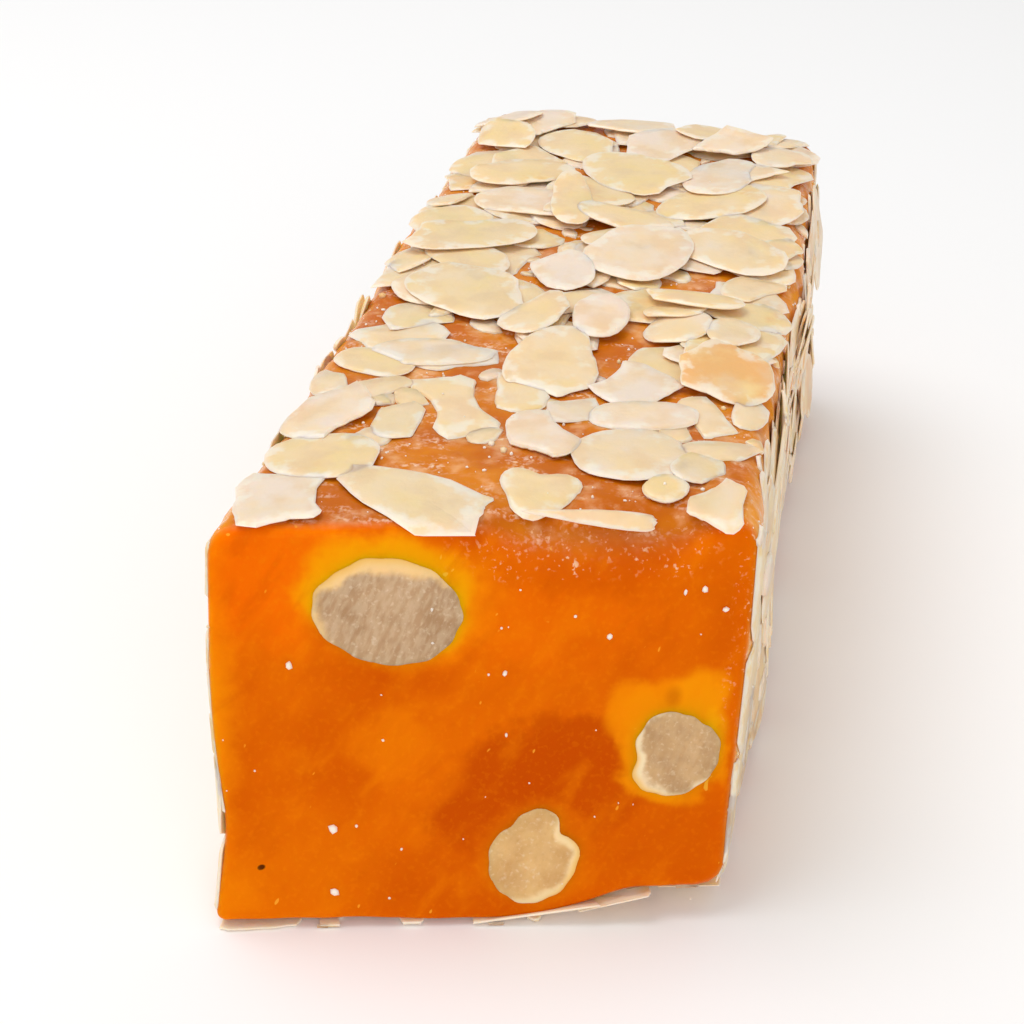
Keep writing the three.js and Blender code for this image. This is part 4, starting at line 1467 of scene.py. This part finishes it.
class LumpMesh:
    """Collects many small uneven lumps in one mesh, with a tone at each point."""

    def __init__(self):
        self.corners, self.lump_faces = lump_corners()
        self.points = []
        self.faces = []
        self.tone = []

    def add(self, at, size, tone, wander):
        start = len(self.points) * len(self.corners)
        stretch = np.array([blend(*LUMP_STRETCH, wander()) for _ in range(3)])
        uneven = np.array([blend(*LUMP_UNEVENNESS, wander()) for _ in self.corners])
        self.points.append(at + self.corners * uneven[:, None] * stretch * size / 2)
        self.faces += [tuple(start + index for index in face) for face in self.lump_faces]
        self.tone += [tone] * len(self.corners)

    def make(self, name):
        mesh = bpy.data.meshes.new(name)
        mesh.from_pydata(metres(np.concatenate(self.points)).tolist(), [], self.faces)
        mesh.polygons.foreach_set("use_smooth", [True] * len(mesh.polygons))
        mesh.attributes.new("tone", "FLOAT", "POINT").data.foreach_set("value", self.tone)
        mesh.attributes.new("rim", "FLOAT", "POINT").data.foreach_set("value", [CRUMB_RIM] * len(self.tone))
        mesh.update()
        piece = bpy.data.objects.new(name, mesh)
        bpy.context.collection.objects.link(piece)
        return piece


def scatter_lumps(lumps, coatings, counts, smallest, largest, wander, accept):
    for name, count in counts.items():
        coating = coatings[name]
        face = coating.face
        for _ in range(count):
            u, v = ((2 * wander() - 1) * reach for reach in face["reach"])
            size = blend(smallest, largest, wander() ** 2)
            at = (np.array([u]), np.array([v]))
            height = float(coating.sample(coating.height, *at)[0])
            bare = height - float(coating.sample(coating.jelly, *at)[0]) < BARE_WITHIN
            on_face = depths_behind_cut(face, u, v) > LUMP_BEHIND_CUT and height > LUMP_LEAST_HEIGHT
            if on_face and accept(bare, wander()):
                lumps.add(face_points(face, u, v, height + LUMP_LIFT * size), size, wander(), wander)


def make_crumbs(coatings):
    wander = seeded_draw(CRUMB_SEED)
    lumps = LumpMesh()
    scatter_lumps(
        lumps, coatings, CRUMB_COUNTS, CRUMB_SMALLEST, CRUMB_LARGEST, wander,
        lambda bare, chance: bare,
    )
    finish_piece(lumps.make("almond_crumbs"), almond_finish("almond_crumb"), "jelly_bar")


def make_starch(coatings):
    wander = seeded_draw(GRAIN_SEED)
    lumps = LumpMesh()
    scatter_lumps(
        lumps, coatings, GRAIN_COUNTS, GRAIN_SMALLEST, GRAIN_LARGEST, wander,
        lambda bare, chance: bare or chance < GRAINS_ON_FLAKES,
    )

    def add_in_cut(across, up, size):
        along = cut_plane_along(across, up) - LUMP_LIFT * size
        lumps.add(np.array([across, along, up]), size, 0, wander)

    for across, up, size in CUT_SPECKS:
        add_in_cut(across, up, size)
    side, below, above = CUT_GRAIN_MARGINS
    for _ in range(CUT_GRAINS):
        across = (2 * wander() - 1) * (half_width - side)
        up = blend(jelly_bottom + below, jelly_top - above, wander())
        add_in_cut(across, up, blend(GRAIN_SMALLEST, CUT_GRAIN_LARGEST, wander() ** 2))
    finish_piece(lumps.make("starch_grains"), starch_finish(), "jelly_bar")


# Floor, light and camera


def make_floor():
    deselect_all()
    bpy.ops.mesh.primitive_plane_add(size=FLOOR_SIZE, location=(0, 0, 0))
    floor = bpy.context.object
    floor.name = "floor"
    finish = Finish("pale_floor")
    finish.set({"Base Color": (0.93, 0.925, 0.92, 1), "Roughness": 0.7})
    floor.data.materials.append(finish.material)


def make_light(name, at, aim, size, power):
    light = bpy.data.lights.new(name, "AREA")
    light.shape = "DISK"
    light.size = size
    light.energy = power
    lamp = bpy.data.objects.new(name, light)
    lamp.location = at
    lamp.rotation_euler = (Vector(aim) - Vector(at)).to_track_quat("-Z", "Y").to_euler()
    bpy.context.collection.objects.link(lamp)


def light_stage():
    for name, softbox in SOFTBOXES.items():
        make_light(name, *softbox)
    world = bpy.data.worlds.new("white_room")
    world.use_nodes = True
    background = world.node_tree.nodes["Background"]
    background.inputs["Color"].default_value = (1, 1, 1, 1)
    background.inputs["Strength"].default_value = ROOM_LIGHT
    scene = bpy.context.scene
    scene.world = world
    scene.view_settings.view_transform = "Standard"
    scene.view_settings.look = "None"


def make_camera():
    data = bpy.data.cameras.new("camera")
    data.sensor_width = SENSOR_WIDTH
    data.lens = CAMERA_FOCAL_PIXELS * SENSOR_WIDTH / IMAGE_PIXELS
    data.clip_start = CAMERA_NEAREST
    camera = bpy.data.objects.new("camera", data)
    at, aim = (Vector(metres(point)) for point in (CAMERA_AT, CAMERA_AIM))
    camera.location = at
    camera.rotation_euler = (aim - at).to_track_quat("-Z", "Y").to_euler()
    bpy.context.collection.objects.link(camera)
    bpy.context.scene.camera = camera


jelly_piece = make_jelly()
jelly_surface = BVHTree.FromObject(jelly_piece, bpy.context.evaluated_depsgraph_get())
bar_faces = coated_faces()
bar_coatings = {name: Coating(face, jelly_surface) for name, face in bar_faces.items()}
make_bits(bar_coatings, "almond_bits", BIT_TRIES, BIT_SEED)
make_flakes(bar_coatings, plan_flakes(bar_faces))
make_bits(bar_coatings, "almond_chips", CHIP_TRIES, CHIP_SEED)
make_crumbs(bar_coatings)
make_starch(bar_coatings)
for nut_name, nut_sizes in NUTS.items():
    make_nut(nut_name, nut_sizes)
make_floor()
light_stage()
make_camera()
